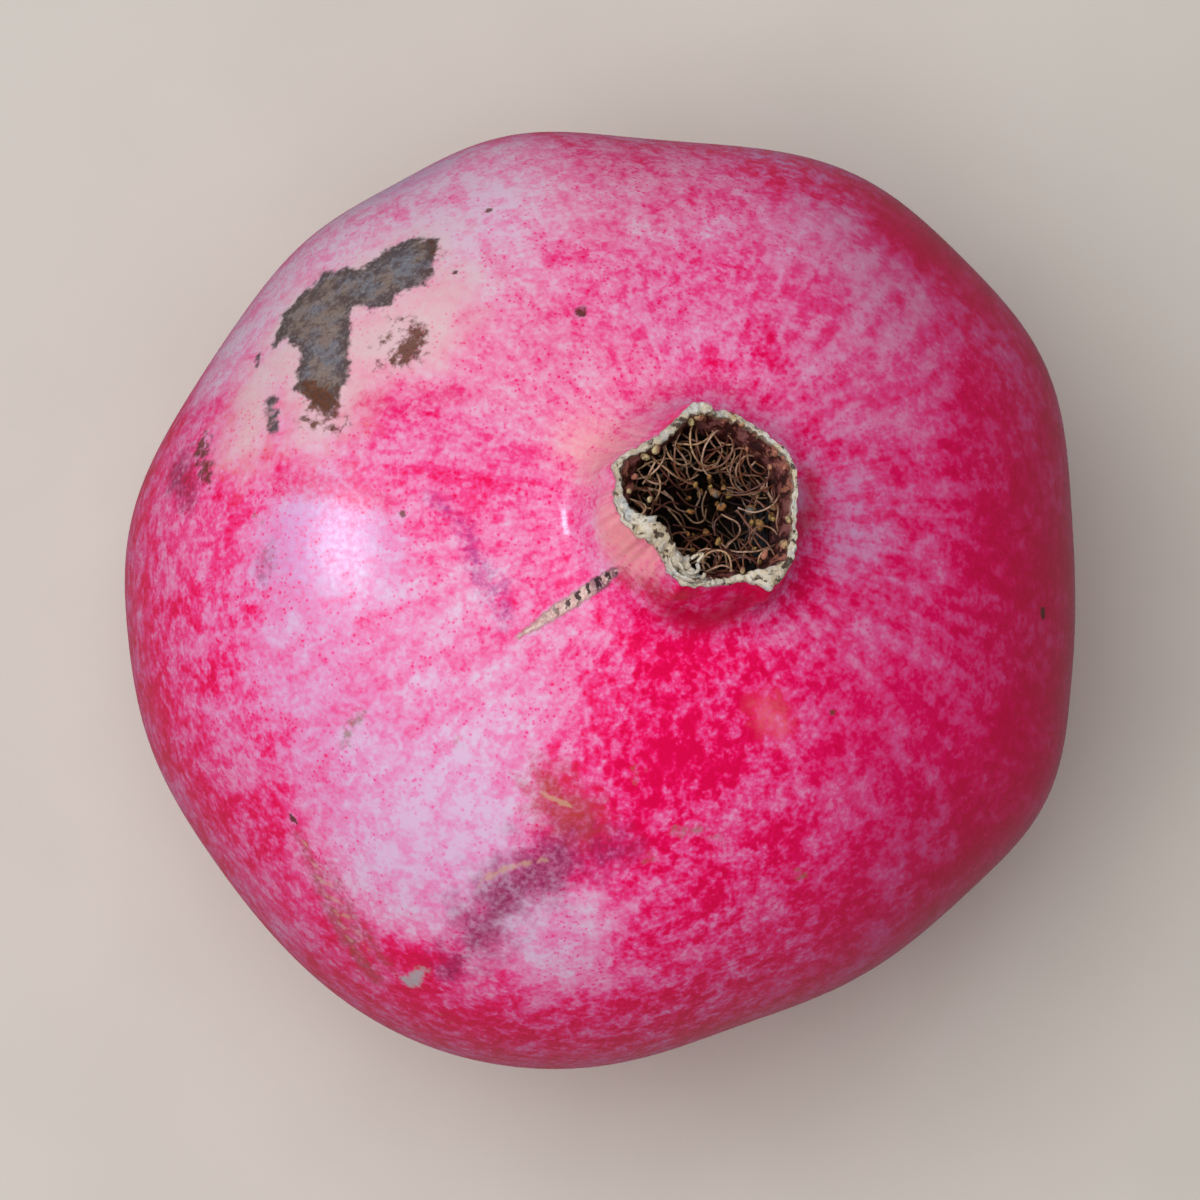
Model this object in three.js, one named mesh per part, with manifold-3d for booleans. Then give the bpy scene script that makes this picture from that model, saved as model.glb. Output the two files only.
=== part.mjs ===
// A ripe pomegranate, as picked: it rests on a small flat spot beside its stem end and leans a little,
// with the worn crown on top and the withered stamens inside it.
// Millimetres, +Z up. The origin is on the surface, under the middle of the fruit's outline.
// The fruit is shaped in a frame of its own, with its axis upright through the middle of the belly,
// and is then leaned and set down. Azimuths run anticlockwise from +X, seen from above, in degrees.

import * as THREE from "three";
import { mergeVertices } from "three/addons/utils/BufferGeometryUtils.js";
import Module from "manifold-3d";

const wasm = await Module();
wasm.setup();

// How the fruit rests
const LEAN = 12.4; // degrees from upright
const LEAN_TOWARDS = 26;
const FLAT_DEPTH = 1.1; // how much of the round underside the flat spot takes away

// The body
const BELLY_RADIUS = 46.8;
const UNDERSIDE_DEPTH = 42.2; // from the belly's widest level down to the ring round the stalk
const SHOULDER_HEIGHT = 40.5; // from the belly's widest level up to the foot of the neck

// The crown, which is the dried calyx, and the hollow in it
const CROWN_RADIUS = 8.4;
const CROWN_HEIGHT = 10.6; // from the foot of the neck to the rim
const RIM_WIDTH = 1.1;
const HOLLOW_DEPTH = 9.6;
const HOLLOW_FLOOR_RADIUS = 5;

// The one lobe of the calyx that is folded in over the hollow
const FOLD_REACH = 2.5;
const FOLD_AT = -138;
const FOLD_SPREAD = 27;

// The cut stalk in its dimple
const STALK_RADIUS = 2.4;
const STALK_LENGTH = 4.4;
const STALK_PROUD = 1.1; // how far it stands out of its socket
const STALK_FLARE = 1.12; // its cut end is this much wider than its root
const DIMPLE_DEPTH = 2.2;

// The brown seat of the stamens, which lines the lower part of the hollow
const CLEARANCE = 0.35;
const SEAT_THICKNESS = 0.7;
const SEAT_HEIGHT = 5.4;

// The withered stamens
const SCATTERED_STAMENS = 28;
const THREAD_RADIUS = 0.26;
const THREAD_SIDES = 4;
const THREAD_STEPS = 6;
const ANTHER_LENGTH = 1.3;
const ANTHER_WIDTH = 0.9;
const STYLE_LENGTH = 2.6;
const STYLE_RADIUS = 0.7;
const SEED = 11;

// Facets
const FRUIT_COLUMNS = 60;
const BODY_ROWS = 27;
const NECK_ROWS = 7;
const HOLLOW_ROWS = 9;
const SEAT_COLUMNS = 30;
const SEAT_ROWS = 8;
const STALK_SIDES = 14;

const RIM_LEVEL = SHOULDER_HEIGHT + CROWN_HEIGHT;
const FLOOR_LEVEL = RIM_LEVEL - HOLLOW_DEPTH;
const DIMPLE_LEVEL = DIMPLE_DEPTH - UNDERSIDE_DEPTH;
const RADIAN = Math.PI / 180;
const GOLDEN_ANGLE = 137.508;

// Soft ribs that run from the crown down to the stalk: where, how high and how wide.
const RIBS = [
  { at: 29, height: 4.2, spread: 17 },
  { at: 58, height: 4.1, spread: 19 },
  { at: 105, height: 1.7, spread: 13 },
  { at: 131, height: 0.9, spread: 11 },
  { at: 172, height: 2, spread: 14 },
  { at: 196, height: 1.6, spread: 16 },
  { at: 248, height: 2.1, spread: 28 },
  { at: 288, height: -1.3, spread: 14 },
  { at: 334, height: 1.7, spread: 11 },
  { at: 348, height: 1.6, spread: 32 },
];

// The corners of the worn calyx, seen down the axis: where, and how far out the rim reaches there.
const RIM_CORNERS = [
  { at: -171, reach: 8.4 },
  { at: -149, reach: 7.7 },
  { at: -107, reach: 8.3 },
  { at: -66, reach: 8.3 },
  { at: -54, reach: 10.1 },
  { at: -33, reach: 9.5 },
  { at: -5, reach: 8.3 },
  { at: 27, reach: 8.4 },
  { at: 66, reach: 7.7 },
  { at: 96, reach: 8.6 },
  { at: 142, reach: 6.9 },
  { at: 160, reach: 8.9 },
];

// How far each stretch of the rim stands above or below its mean level.
const RIM_RISES = [
  { at: 96, height: 0.9, spread: 22 },
  { at: 27, height: 0.5, spread: 18 },
  { at: -5, height: -0.4, spread: 16 },
  { at: -42, height: 0.6, spread: 20 },
  { at: -80, height: -0.5, spread: 18 },
  { at: FOLD_AT, height: 0.5, spread: 26 },
  { at: 160, height: -0.3, spread: 16 },
];

// The longest stamens, which climb the wall and curl over at the top.
// Each point is x, y and its depth below the rim, from the seat to the anther.
const LONG_STAMENS = [
  [[5.2, 1.2, 4.9], [5, 2.4, 3.2], [4.5, 3.6, 2.8], [3.7, 3.9, 3.6], [3.3, 3.1, 4.4]],
  [[2.2, 5.2, 4.9], [1.8, 5.4, 3.2], [0.7, 5.9, 1.9], [-0.3, 5.9, 1]],
  [[-2.3, 4.8, 4.9], [-1.5, 4.3, 3.7], [-0.6, 2.9, 4.1], [0.4, 1.2, 5.2]],
  [[-3.9, 3.4, 4.9], [-3.1, 3.4, 3.6], [-2.4, 2.9, 3.7], [-2.7, 2.1, 4.7]],
  [[-5, -1.3, 4.9], [-4.8, 0.2, 3.3], [-4.3, 1.3, 2.9], [-3.6, 0.8, 3.6], [-3.8, -0.4, 4.4]],
  [[-0.6, -5.1, 4.9], [0.2, -4.9, 3.4], [1.4, -4.5, 2.9], [2.1, -3.7, 3.6], [1.4, -3, 4.7]],
  [[4.8, -1.9, 4.9], [5.1, -2.8, 3.5], [5.4, -3.8, 2.4], [5.7, -4.7, 1.8]],
];

// A repeatable draw of numbers from 0 to 1.
function drawFrom(seed) {
  let state = seed;
  return () => {
    state = (Math.imul(state, 1664525) + 1013904223) >>> 0;
    return state / 2 ** 32;
  };
}

// The smaller turn between two azimuths.
function turnBetween(a, b) {
  return Math.abs(THREE.MathUtils.euclideanModulo(a - b + 180, 360) - 180);
}

// A smooth swelling round one azimuth: 1 at its middle.
function swelling(azimuth, at, spread) {
  return Math.exp(-((turnBetween(azimuth, at) / spread) ** 2));
}

function sumOf(swellings, azimuth) {
  return swellings.reduce((sum, s) => sum + s.height * swelling(azimuth, s.at, s.spread), 0);
}

// The rim's reach at an azimuth: its outline runs straight from corner to corner.
function rimReach(azimuth) {
  const turned = THREE.MathUtils.euclideanModulo(azimuth + 180, 360) - 180;
  const next = RIM_CORNERS.findIndex((corner) => corner.at > turned);
  const after = RIM_CORNERS.at(next === -1 ? 0 : next);
  const before = RIM_CORNERS.at(next === -1 ? -1 : next - 1);
  const whole = turnBetween(after.at, before.at) * RADIAN;
  const passed = turnBetween(turned, before.at) * RADIAN;
  const sides = before.reach * Math.sin(passed) + after.reach * Math.sin(whole - passed);
  return (before.reach * after.reach * Math.sin(whole)) / sides;
}

// Evenly spaced rows along a smooth profile through points that each give a radius and a level.
function rowsThrough(points, count) {
  const profile = new THREE.CatmullRomCurve3(
    points.map(([radius, level]) => new THREE.Vector3(radius, level, 0)),
    false,
    "centripetal",
  );
  return profile.getSpacedPoints(count - 1).map((p) => ({ radius: Math.max(p.x, 0), level: p.y }));
}

// The body's rows from the dimple up to the foot of the neck. They follow the ribs.
function bodyRows() {
  const rows = rowsThrough(
    [
      [0, DIMPLE_LEVEL],
      [3.6, DIMPLE_LEVEL - 0.2],
      [7.5, -UNDERSIDE_DEPTH],
      [12, -0.982 * UNDERSIDE_DEPTH],
      [18, -0.938 * UNDERSIDE_DEPTH],
      [0.58 * BELLY_RADIUS, -0.845 * UNDERSIDE_DEPTH],
      [0.745 * BELLY_RADIUS, -0.7 * UNDERSIDE_DEPTH],
      [0.885 * BELLY_RADIUS, -0.49 * UNDERSIDE_DEPTH],
      [0.975 * BELLY_RADIUS, -0.24 * UNDERSIDE_DEPTH],
      [BELLY_RADIUS, 0.02 * SHOULDER_HEIGHT],
      [0.978 * BELLY_RADIUS, 0.29 * SHOULDER_HEIGHT],
      [0.9 * BELLY_RADIUS, 0.54 * SHOULDER_HEIGHT],
      [0.77 * BELLY_RADIUS, 0.745 * SHOULDER_HEIGHT],
      [0.61 * BELLY_RADIUS, 0.885 * SHOULDER_HEIGHT],
      [20.5, 0.968 * SHOULDER_HEIGHT],
      [16, SHOULDER_HEIGHT],
    ],
    BODY_ROWS,
  );
  return rows.map((row) => {
    const towardsCrown = THREE.MathUtils.smoothstep(row.level / SHOULDER_HEIGHT, 0.4, 1);
    return { ...row, ribs: THREE.MathUtils.smoothstep(row.radius, 6, 26) * (1 - 0.6 * towardsCrown) };
  });
}

// The rows up the neck to the rim, over it and a little way down inside. They follow the rim's corners.
function crownRows() {
  const neck = rowsThrough(
    [
      [14.2, SHOULDER_HEIGHT + 0.9],
      [12.3, SHOULDER_HEIGHT + 2.3],
      [10.6, SHOULDER_HEIGHT + 4.7],
      [9.3, SHOULDER_HEIGHT + 7.6],
      [CROWN_RADIUS, RIM_LEVEL - 0.4],
    ],
    NECK_ROWS,
  );
  const lip = [
    { radius: CROWN_RADIUS - 0.2, level: RIM_LEVEL },
    { radius: CROWN_RADIUS - 0.85 * RIM_WIDTH, level: RIM_LEVEL, fold: 0.9 },
    { radius: CROWN_RADIUS - RIM_WIDTH, level: RIM_LEVEL - 0.4, fold: 1 },
    { radius: CROWN_RADIUS - RIM_WIDTH, level: RIM_LEVEL - 1.3, fold: 0.9 },
    { radius: CROWN_RADIUS - 1.1 * RIM_WIDTH, level: RIM_LEVEL - 2, fold: 0.1 },
  ];
  return [...neck, ...lip].map((row) => ({
    ...row,
    corners: THREE.MathUtils.smoothstep(row.level, SHOULDER_HEIGHT, RIM_LEVEL - 1),
    rise: THREE.MathUtils.smoothstep(row.level, SHOULDER_HEIGHT + 3, RIM_LEVEL - 0.5),
  }));
}

// The rows down the hollow to its floor, or down a surface that stays inside it by the same gap all over.
function hollowRows(gap, topLevel, count) {
  const rows = rowsThrough(
    [
      [CROWN_RADIUS - 1.25 * RIM_WIDTH - gap, RIM_LEVEL - 2.8],
      [CROWN_RADIUS - 1.8 * RIM_WIDTH - gap, RIM_LEVEL - 0.6 * HOLLOW_DEPTH],
      [HOLLOW_FLOOR_RADIUS + 0.9 - gap, FLOOR_LEVEL + 1 + 0.5 * gap],
      [HOLLOW_FLOOR_RADIUS - gap, FLOOR_LEVEL + 0.15 + gap],
      [0.5 * HOLLOW_FLOOR_RADIUS, FLOOR_LEVEL + gap],
      [0, FLOOR_LEVEL + gap],
    ],
    count,
  );
  return rows
    .filter((row) => row.level <= topLevel)
    .map((row) => ({
      ...row,
      corners: 0.9 * THREE.MathUtils.smoothstep(row.level, FLOOR_LEVEL, RIM_LEVEL - 2),
    }));
}

// The point of a row at an azimuth, in the fruit's own frame.
function pointOn(row, azimuth) {
  const { radius, level, ribs = 0, corners = 0, rise = 0, fold = 0 } = row;
  const cornered = radius * (1 + corners * (rimReach(azimuth) / CROWN_RADIUS - 1));
  const inset = FOLD_REACH * fold * swelling(azimuth, FOLD_AT, FOLD_SPREAD);
  const reach = radius === 0 ? 0 : cornered + ribs * sumOf(RIBS, azimuth) - inset;
  return new THREE.Vector3(
    reach * Math.cos(azimuth * RADIAN),
    reach * Math.sin(azimuth * RADIAN),
    level + rise * sumOf(RIM_RISES, azimuth),
  );
}

// A turned shape whose rows are then pushed out to where they belong at each azimuth.
function shapeFromRows(rows, columns) {
  const profile = rows.map((row) => new THREE.Vector2(row.radius, row.level));
  const geometry = new THREE.LatheGeometry(profile, columns).rotateX(Math.PI / 2);
  const position = geometry.attributes.position;
  for (let i = 0; i < position.count; i++) {
    const column = Math.floor(i / rows.length);
    const { x, y, z } = pointOn(rows[i % rows.length], (360 * column) / columns - 90);
    position.setXYZ(i, x, y, z);
  }
  return geometry;
}

// A geometry as a solid that can be joined and cut.
function solidFrom(geometry) {
  const bare = geometry.clone();
  bare.deleteAttribute("normal");
  bare.deleteAttribute("uv");
  const merged = mergeVertices(bare, 1e-4);
  const vertProperties = new Float32Array(merged.attributes.position.array);
  const triVerts = new Uint32Array(merged.index.array);
  return new wasm.Manifold(new wasm.Mesh({ numProp: 3, vertProperties, triVerts }));
}

function geometryFrom(solid) {
  const { numVert, numProp, vertProperties, triVerts } = solid.getMesh();
  const positions = new Float32Array(numVert * 3);
  for (let i = 0; i < numVert; i++) {
    positions.set(vertProperties.subarray(i * numProp, i * numProp + 3), i * 3);
  }
  const geometry = new THREE.BufferGeometry();
  geometry.setAttribute("position", new THREE.BufferAttribute(positions, 3));
  geometry.setIndex(new THREE.BufferAttribute(triVerts, 1));
  geometry.computeVertexNormals();
  return geometry;
}

// How the leaning fruit stands: its outline's middle over the origin, and the flat spot's plane at zero.
function restingPlace(body) {
  const axis = new THREE.Vector3(-Math.sin(LEAN_TOWARDS * RADIAN), Math.cos(LEAN_TOWARDS * RADIAN), 0);
  const place = new THREE.Matrix4().makeRotationAxis(axis, LEAN * RADIAN);
  const leaning = body.clone().applyMatrix4(place);
  leaning.computeBoundingBox();
  const middle = leaning.boundingBox.getCenter(new THREE.Vector3());
  return place.setPosition(-middle.x, -middle.y, -leaning.boundingBox.min.z - FLAT_DEPTH);
}

// The socket that holds the stalk, a little wider and deeper than the stalk itself.
function socketShape() {
  const radius = STALK_RADIUS + CLEARANCE;
  const floor = DIMPLE_LEVEL - STALK_PROUD + STALK_LENGTH + CLEARANCE;
  const mouth = -UNDERSIDE_DEPTH - 1;
  const socket = new THREE.CylinderGeometry(radius, radius, floor - mouth, STALK_SIDES);
  return socket.rotateX(Math.PI / 2).translate(0, 0, (floor + mouth) / 2);
}

// The ground as a block, in the fruit's own frame.
function groundShape(place) {
  const size = 6 * BELLY_RADIUS;
  const ground = new THREE.BoxGeometry(size, size, size).translate(0, 0, -size / 2);
  return ground.applyMatrix4(place.clone().invert());
}

// The rind with the crown that grows from it. The flat spot is cut where the fruit meets the surface.
function fruitMesh(skin, place) {
  const whole = solidFrom(skin);
  const socketed = whole.subtract(solidFrom(socketShape()));
  const settled = socketed.subtract(solidFrom(groundShape(place)));
  const rind = new THREE.MeshStandardMaterial({ color: 0xcf3a68, roughness: 0.42, metalness: 0 });
  const mesh = new THREE.Mesh(geometryFrom(settled), rind);
  mesh.name = "fruit";
  return mesh;
}

// A thread of even thickness, closed at both ends, along a smooth curve through its points.
function threadShape(points) {
  const turns = Array.from({ length: THREAD_SIDES }, (_, i) => (2 * Math.PI * i) / THREAD_SIDES);
  const section = new THREE.Shape(
    turns.map((a) => new THREE.Vector2(THREAD_RADIUS * Math.cos(a), THREAD_RADIUS * Math.sin(a))),
  );
  const extrudePath = new THREE.CatmullRomCurve3(points);
  return new THREE.ExtrudeGeometry(section, { steps: THREAD_STEPS, extrudePath });
}

// The withered anther on the end of a thread, in line with it.
function antherShape(points) {
  const [before, tip] = points.slice(-2);
  const along = tip.clone().sub(before).normalize();
  const turn = new THREE.Quaternion().setFromUnitVectors(new THREE.Vector3(0, 0, 1), along);
  const anther = new THREE.IcosahedronGeometry(1, 0);
  anther.scale(ANTHER_WIDTH / 2, ANTHER_WIDTH / 2, ANTHER_LENGTH / 2);
  return anther.applyQuaternion(turn).translate(tip.x, tip.y, tip.z);
}

// A scattered stamen: out of the seat's wall, up, over to one side and down again.
function scatteredStamen(number, draw) {
  const azimuth = number * GOLDEN_ANGLE * RADIAN;
  const rootLevel = FLOOR_LEVEL + 1.7 + 1.9 * draw();
  const wall = HOLLOW_FLOOR_RADIUS + 0.35 + 0.12 * (rootLevel - FLOOR_LEVEL) - CLEARANCE - SEAT_THICKNESS;
  const reach = 1.9 + 1.5 * draw();
  const curl = (draw() < 0.5 ? -1 : 1) * (0.7 + 0.8 * draw());
  const climb = 0.7 + 0.5 * draw();
  const place = (inward, sideways, up) => {
    const out = wall - inward;
    return new THREE.Vector3(
      out * Math.cos(azimuth) - sideways * Math.sin(azimuth),
      out * Math.sin(azimuth) + sideways * Math.cos(azimuth),
      rootLevel + up,
    );
  };
  return [
    place(-0.45, 0, -0.1),
    place(0.3 * reach, 0.1 * curl, 0.8 * climb),
    place(0.7 * reach, 0.5 * curl, climb),
    place(reach, 1.1 * curl, 0.5 * climb),
    place(0.95 * reach, 1.6 * curl, -0.4 * climb),
  ];
}

function longStamen(points) {
  return points.map(([x, y, depth]) => new THREE.Vector3(x, y, RIM_LEVEL - depth));
}

// The seat: a thin cup that stays clear of the hollow's wall.
function seatShape() {
  const top = FLOOR_LEVEL + SEAT_HEIGHT;
  const outside = hollowRows(CLEARANCE, top, SEAT_ROWS).reverse();
  const inside = hollowRows(CLEARANCE + SEAT_THICKNESS, top, SEAT_ROWS);
  return shapeFromRows([...outside, ...inside], SEAT_COLUMNS);
}

function styleShape() {
  const length = STYLE_LENGTH + SEAT_THICKNESS / 2;
  const style = new THREE.ConeGeometry(STYLE_RADIUS, length, THREAD_SIDES).rotateX(Math.PI / 2);
  return style.translate(0, 0, FLOOR_LEVEL + CLEARANCE + SEAT_THICKNESS / 2 + length / 2);
}

// The largest body of a solid, which leaves out loose scraps and fills the hollows that crossing threads seal.
function largestBody(solid) {
  return solid.decompose().reduce((best, body) => (body.volume() > best.volume() ? body : best));
}

// All that is withered and brown in the hollow: the seat, the stamens and what is left of the style.
function stamensMesh() {
  const draw = drawFrom(SEED);
  const scattered = Array.from({ length: SCATTERED_STAMENS }, (_, i) => scatteredStamen(i, draw));
  const stamens = [...scattered, ...LONG_STAMENS.map(longStamen)];
  let solid = solidFrom(seatShape()).add(solidFrom(styleShape()));
  for (const points of stamens) {
    solid = solid.add(solidFrom(threadShape(points))).add(solidFrom(antherShape(points)));
  }
  const withered = new THREE.MeshStandardMaterial({ color: 0x8a5a3c, roughness: 0.8, metalness: 0 });
  const mesh = new THREE.Mesh(geometryFrom(largestBody(solid)), withered);
  mesh.name = "stamens";
  return mesh;
}

// The stub of the stalk, clipped off short.
function stalkMesh() {
  const stub = new THREE.CylinderGeometry(
    STALK_RADIUS / STALK_FLARE,
    STALK_RADIUS,
    STALK_LENGTH,
    STALK_SIDES,
  );
  stub.rotateX(Math.PI / 2);
  const woody = new THREE.MeshStandardMaterial({ color: 0x8c6b4a, roughness: 0.75, metalness: 0 });
  const mesh = new THREE.Mesh(stub, woody);
  mesh.name = "stem";
  mesh.position.z = DIMPLE_LEVEL - STALK_PROUD + STALK_LENGTH / 2;
  return mesh;
}

function pomegranate() {
  const fruitRows = [...bodyRows(), ...crownRows(), ...hollowRows(0, RIM_LEVEL, HOLLOW_ROWS)];
  const skin = shapeFromRows(fruitRows, FRUIT_COLUMNS);
  const place = restingPlace(skin);
  const group = new THREE.Group();
  group.add(fruitMesh(skin, place), stamensMesh(), stalkMesh());
  group.applyMatrix4(place);
  return group;
}

export default pomegranate();
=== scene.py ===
"""A ripe pomegranate with its worn crown and withered stamens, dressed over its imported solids.

Lengths in the lists and in the shaping functions are millimetres, in the fruit's own frame where
nothing else is said: its axis upright, its origin in the middle of the belly, azimuths in degrees
anticlockwise from +X as seen from above. Places on the skin are given as (right, up) in millimetres
from the middle of the photograph's view.
"""

import math
import random

import bpy
import numpy as np
from bpy.props import FloatProperty, FloatVectorProperty, IntProperty, PointerProperty
from mathutils import Matrix, Vector, noise
from mathutils.bvhtree import BVHTree


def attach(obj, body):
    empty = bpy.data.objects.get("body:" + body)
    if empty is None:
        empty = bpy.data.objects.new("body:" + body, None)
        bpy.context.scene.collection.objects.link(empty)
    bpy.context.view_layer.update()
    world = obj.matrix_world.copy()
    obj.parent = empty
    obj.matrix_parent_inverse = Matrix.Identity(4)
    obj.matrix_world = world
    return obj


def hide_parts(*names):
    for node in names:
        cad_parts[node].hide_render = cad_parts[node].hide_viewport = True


bl_info = {
    "name": "Pomegranate",
    "version": (1, 0, 0),
    "blender": (4, 5, 0),
    "location": "View3D > Sidebar > Pomegranate",
    "description": "Builds a ripe pomegranate with a worn crown, withered stamens and a clipped stalk",
    "category": "Object",
}

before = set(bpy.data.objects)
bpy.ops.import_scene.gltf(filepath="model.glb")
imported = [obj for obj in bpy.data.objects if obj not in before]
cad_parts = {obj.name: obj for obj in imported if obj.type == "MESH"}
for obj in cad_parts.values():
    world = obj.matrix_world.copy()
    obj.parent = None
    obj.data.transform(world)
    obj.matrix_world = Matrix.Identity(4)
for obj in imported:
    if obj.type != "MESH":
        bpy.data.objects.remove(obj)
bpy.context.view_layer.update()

MM = 0.001

# How the fruit stands
LEAN = 12.4
LEAN_TOWARDS = 26.0
CENTRE = (-0.025, -0.012, 42.147)

GOLDEN_ANGLE = 137.508

# The body
BELLY_RADIUS = 46.8
UNDERSIDE_DEPTH = 42.2
SHOULDER_HEIGHT = 40.5

# The crown and its hollow
CROWN_RADIUS = 8.4
RIM_LEVEL = 51.1
# Rounds in which a point's level on the uneven rim settles.
RIM_ROUNDS = 6
RIM_WIDTH = 1.1
HOLLOW_DEPTH = 9.6
HOLLOW_FLOOR_RADIUS = 5.0
FLOOR_LEVEL = RIM_LEVEL - HOLLOW_DEPTH

# The crumpled rim: the sizes of its lumps, and where the end of the folded lobe is worn most
CRUMPLE_SEED = 5
BROAD_CRUMPLE = 1.1
CLOSE_CRUMPLE = 0.42
WORN_AT = -108
WORN_SPREAD = 16

# The stalk and its socket
STALK_RADIUS = 2.4
STALK_LENGTH = 4.4
STALK_PROUD = 1.1
STALK_COLUMNS = 96
DIMPLE_LEVEL = -40.0
CLEARANCE = 0.35

# The camera of the photograph
CAMERA_ELEVATION = 84.0
CAMERA_DISTANCE = 450.0
CAMERA_TARGET = (0.0, 0.0, 45.0)
CAMERA_LENS = 131.4
SENSOR_WIDTH = 36.0
PHOTO_WIDTH = 1200

# The two enlarged crops of the photograph that the crown's points were picked on: left,
# top, and how many pixels of the crop there are for one of the photograph.
NEAR_CROP = (590, 380, 6.817)
WIDE_CROP = (600, 385, 2.818)

# The floor in metres, just under the fruit so that the two don't meet
FLOOR_HALF = 1.6
FLOOR_DROP = 0.0001
FLOOR_CORNERS = ((-1, -1), (1, -1), (1, 1), (-1, 1))

# The lights, in metres: from where, how far from the middle of the fruit, and how wide
WINDOW = {"direction": (-0.7, 0.19, 0.69), "distance": 0.62, "size": 0.15, "tint": (0.72, 0.86, 1.0)}
OVERHEAD = {"direction": (-0.24, 0.0, 0.96), "distance": 0.9, "size": 0.8, "tint": (1.0, 0.99, 0.98)}

# How finely the rind is meshed
RIND_COLUMNS = 440
BODY_ROWS = 132
NECK_ROWS = 26
HOLLOW_ROWS = 26

# Soft ribs from the crown down to the stalk: at, height, spread.
RIBS = [
    (29, 4.2, 17),
    (58, 4.1, 19),
    (105, 1.7, 13),
    (131, 0.9, 11),
    (172, 2.0, 14),
    (196, 1.6, 16),
    (248, 2.1, 28),
    (288, -1.3, 14),
    (334, 1.7, 11),
    (348, 1.6, 32),
]

# How far stretches of the rim stand above or below its mean level: at, height, spread.
RIM_RISES = [
    (96, 0.9, 22),
    (27, 0.5, 18),
    (-5, -0.4, 16),
    (-42, 0.6, 20),
    (-80, -0.5, 18),
    (-138, 0.5, 26),
    (160, -0.3, 16),
]

# The rim's outer edge, seen down the axis: azimuth, reach.
RIM_OUTSIDE_SEEN = [
    (700, 150), (765, 142), (830, 170), (850, 205), (900, 195), (1000, 235), (1065, 265),
    (1150, 320), (1250, 400), (1350, 480), (1395, 550), (1418, 640), (1420, 800), (1412, 980),
    (1420, 1100), (1400, 1200), (1350, 1300), (1250, 1420), (1215, 1425), (1160, 1395),
    (1080, 1360), (1000, 1375), (880, 1390), (740, 1400), (640, 1392), (560, 1320), (490, 1200),
    (440, 1110), (330, 1060), (230, 960), (180, 860), (165, 760), (190, 680), (155, 590),
    (170, 550), (250, 490), (400, 410), (480, 360), (600, 255),
]

# The rim's inner edge, which runs far in where one lobe is folded over the hollow.
RIM_INSIDE_SEEN = [
    (700, 265), (770, 255), (830, 260), (880, 280), (950, 290), (1030, 320), (1130, 380),
    (1230, 450), (1300, 520), (1350, 600), (1365, 700), (1350, 800), (1345, 900), (1355, 1000),
    (1340, 1100), (1330, 1180), (1270, 1235), (1150, 1265), (1050, 1285), (900, 1325),
    (780, 1310), (690, 1240), (640, 1165), (600, 1110), (560, 1035), (520, 965), (470, 915),
    (406, 902), (340, 900), (300, 860), (255, 760), (245, 640), (260, 545), (400, 500),
    (480, 480), (570, 400), (640, 330),
]

# The hollow's wall below the rim: where it leans in.
WALL_LEANS = [(168, 0.9, 16), (60, 0.3, 30)]

# Across the rim from its outer edge to its inner one: how far across, and how far down.
RIM_SECTION = [
    (0.05, 0.14), (0.15, 0.02), (0.24, 0.0), (0.32, 0.0), (0.42, 0.0), (0.55, -0.04), (0.7, -0.06),
    (0.85, -0.02), (0.95, 0.08),
]

# The neck from the shoulder up to the rim: radius, and height above the shoulder.
NECK = [
    (16, 0.0), (13.1, 0.6), (11.1, 1.7), (9.8, 3.9), (9.05, 7.2),
    (CROWN_RADIUS, RIM_LEVEL - SHOULDER_HEIGHT - 0.4),
]

# From the rim down to where the hollow starts: depth below the rim, and how much the wall still
# hangs over towards the rim's inner edge there.
LIP_END_DEPTH = 2.8
LIP = [(0.25, 1.0), (0.45, 0.99), (0.65, 0.9), (0.9, 0.66), (1.2, 0.42), (1.6, 0.22), (2.2, 0.07)]

# Creases between the rim and the lobe that is folded over it.
CREASES = [(-160, 0.9, 9), (-112, 0.7, 12), (-98, 0.4, 6)]

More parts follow.
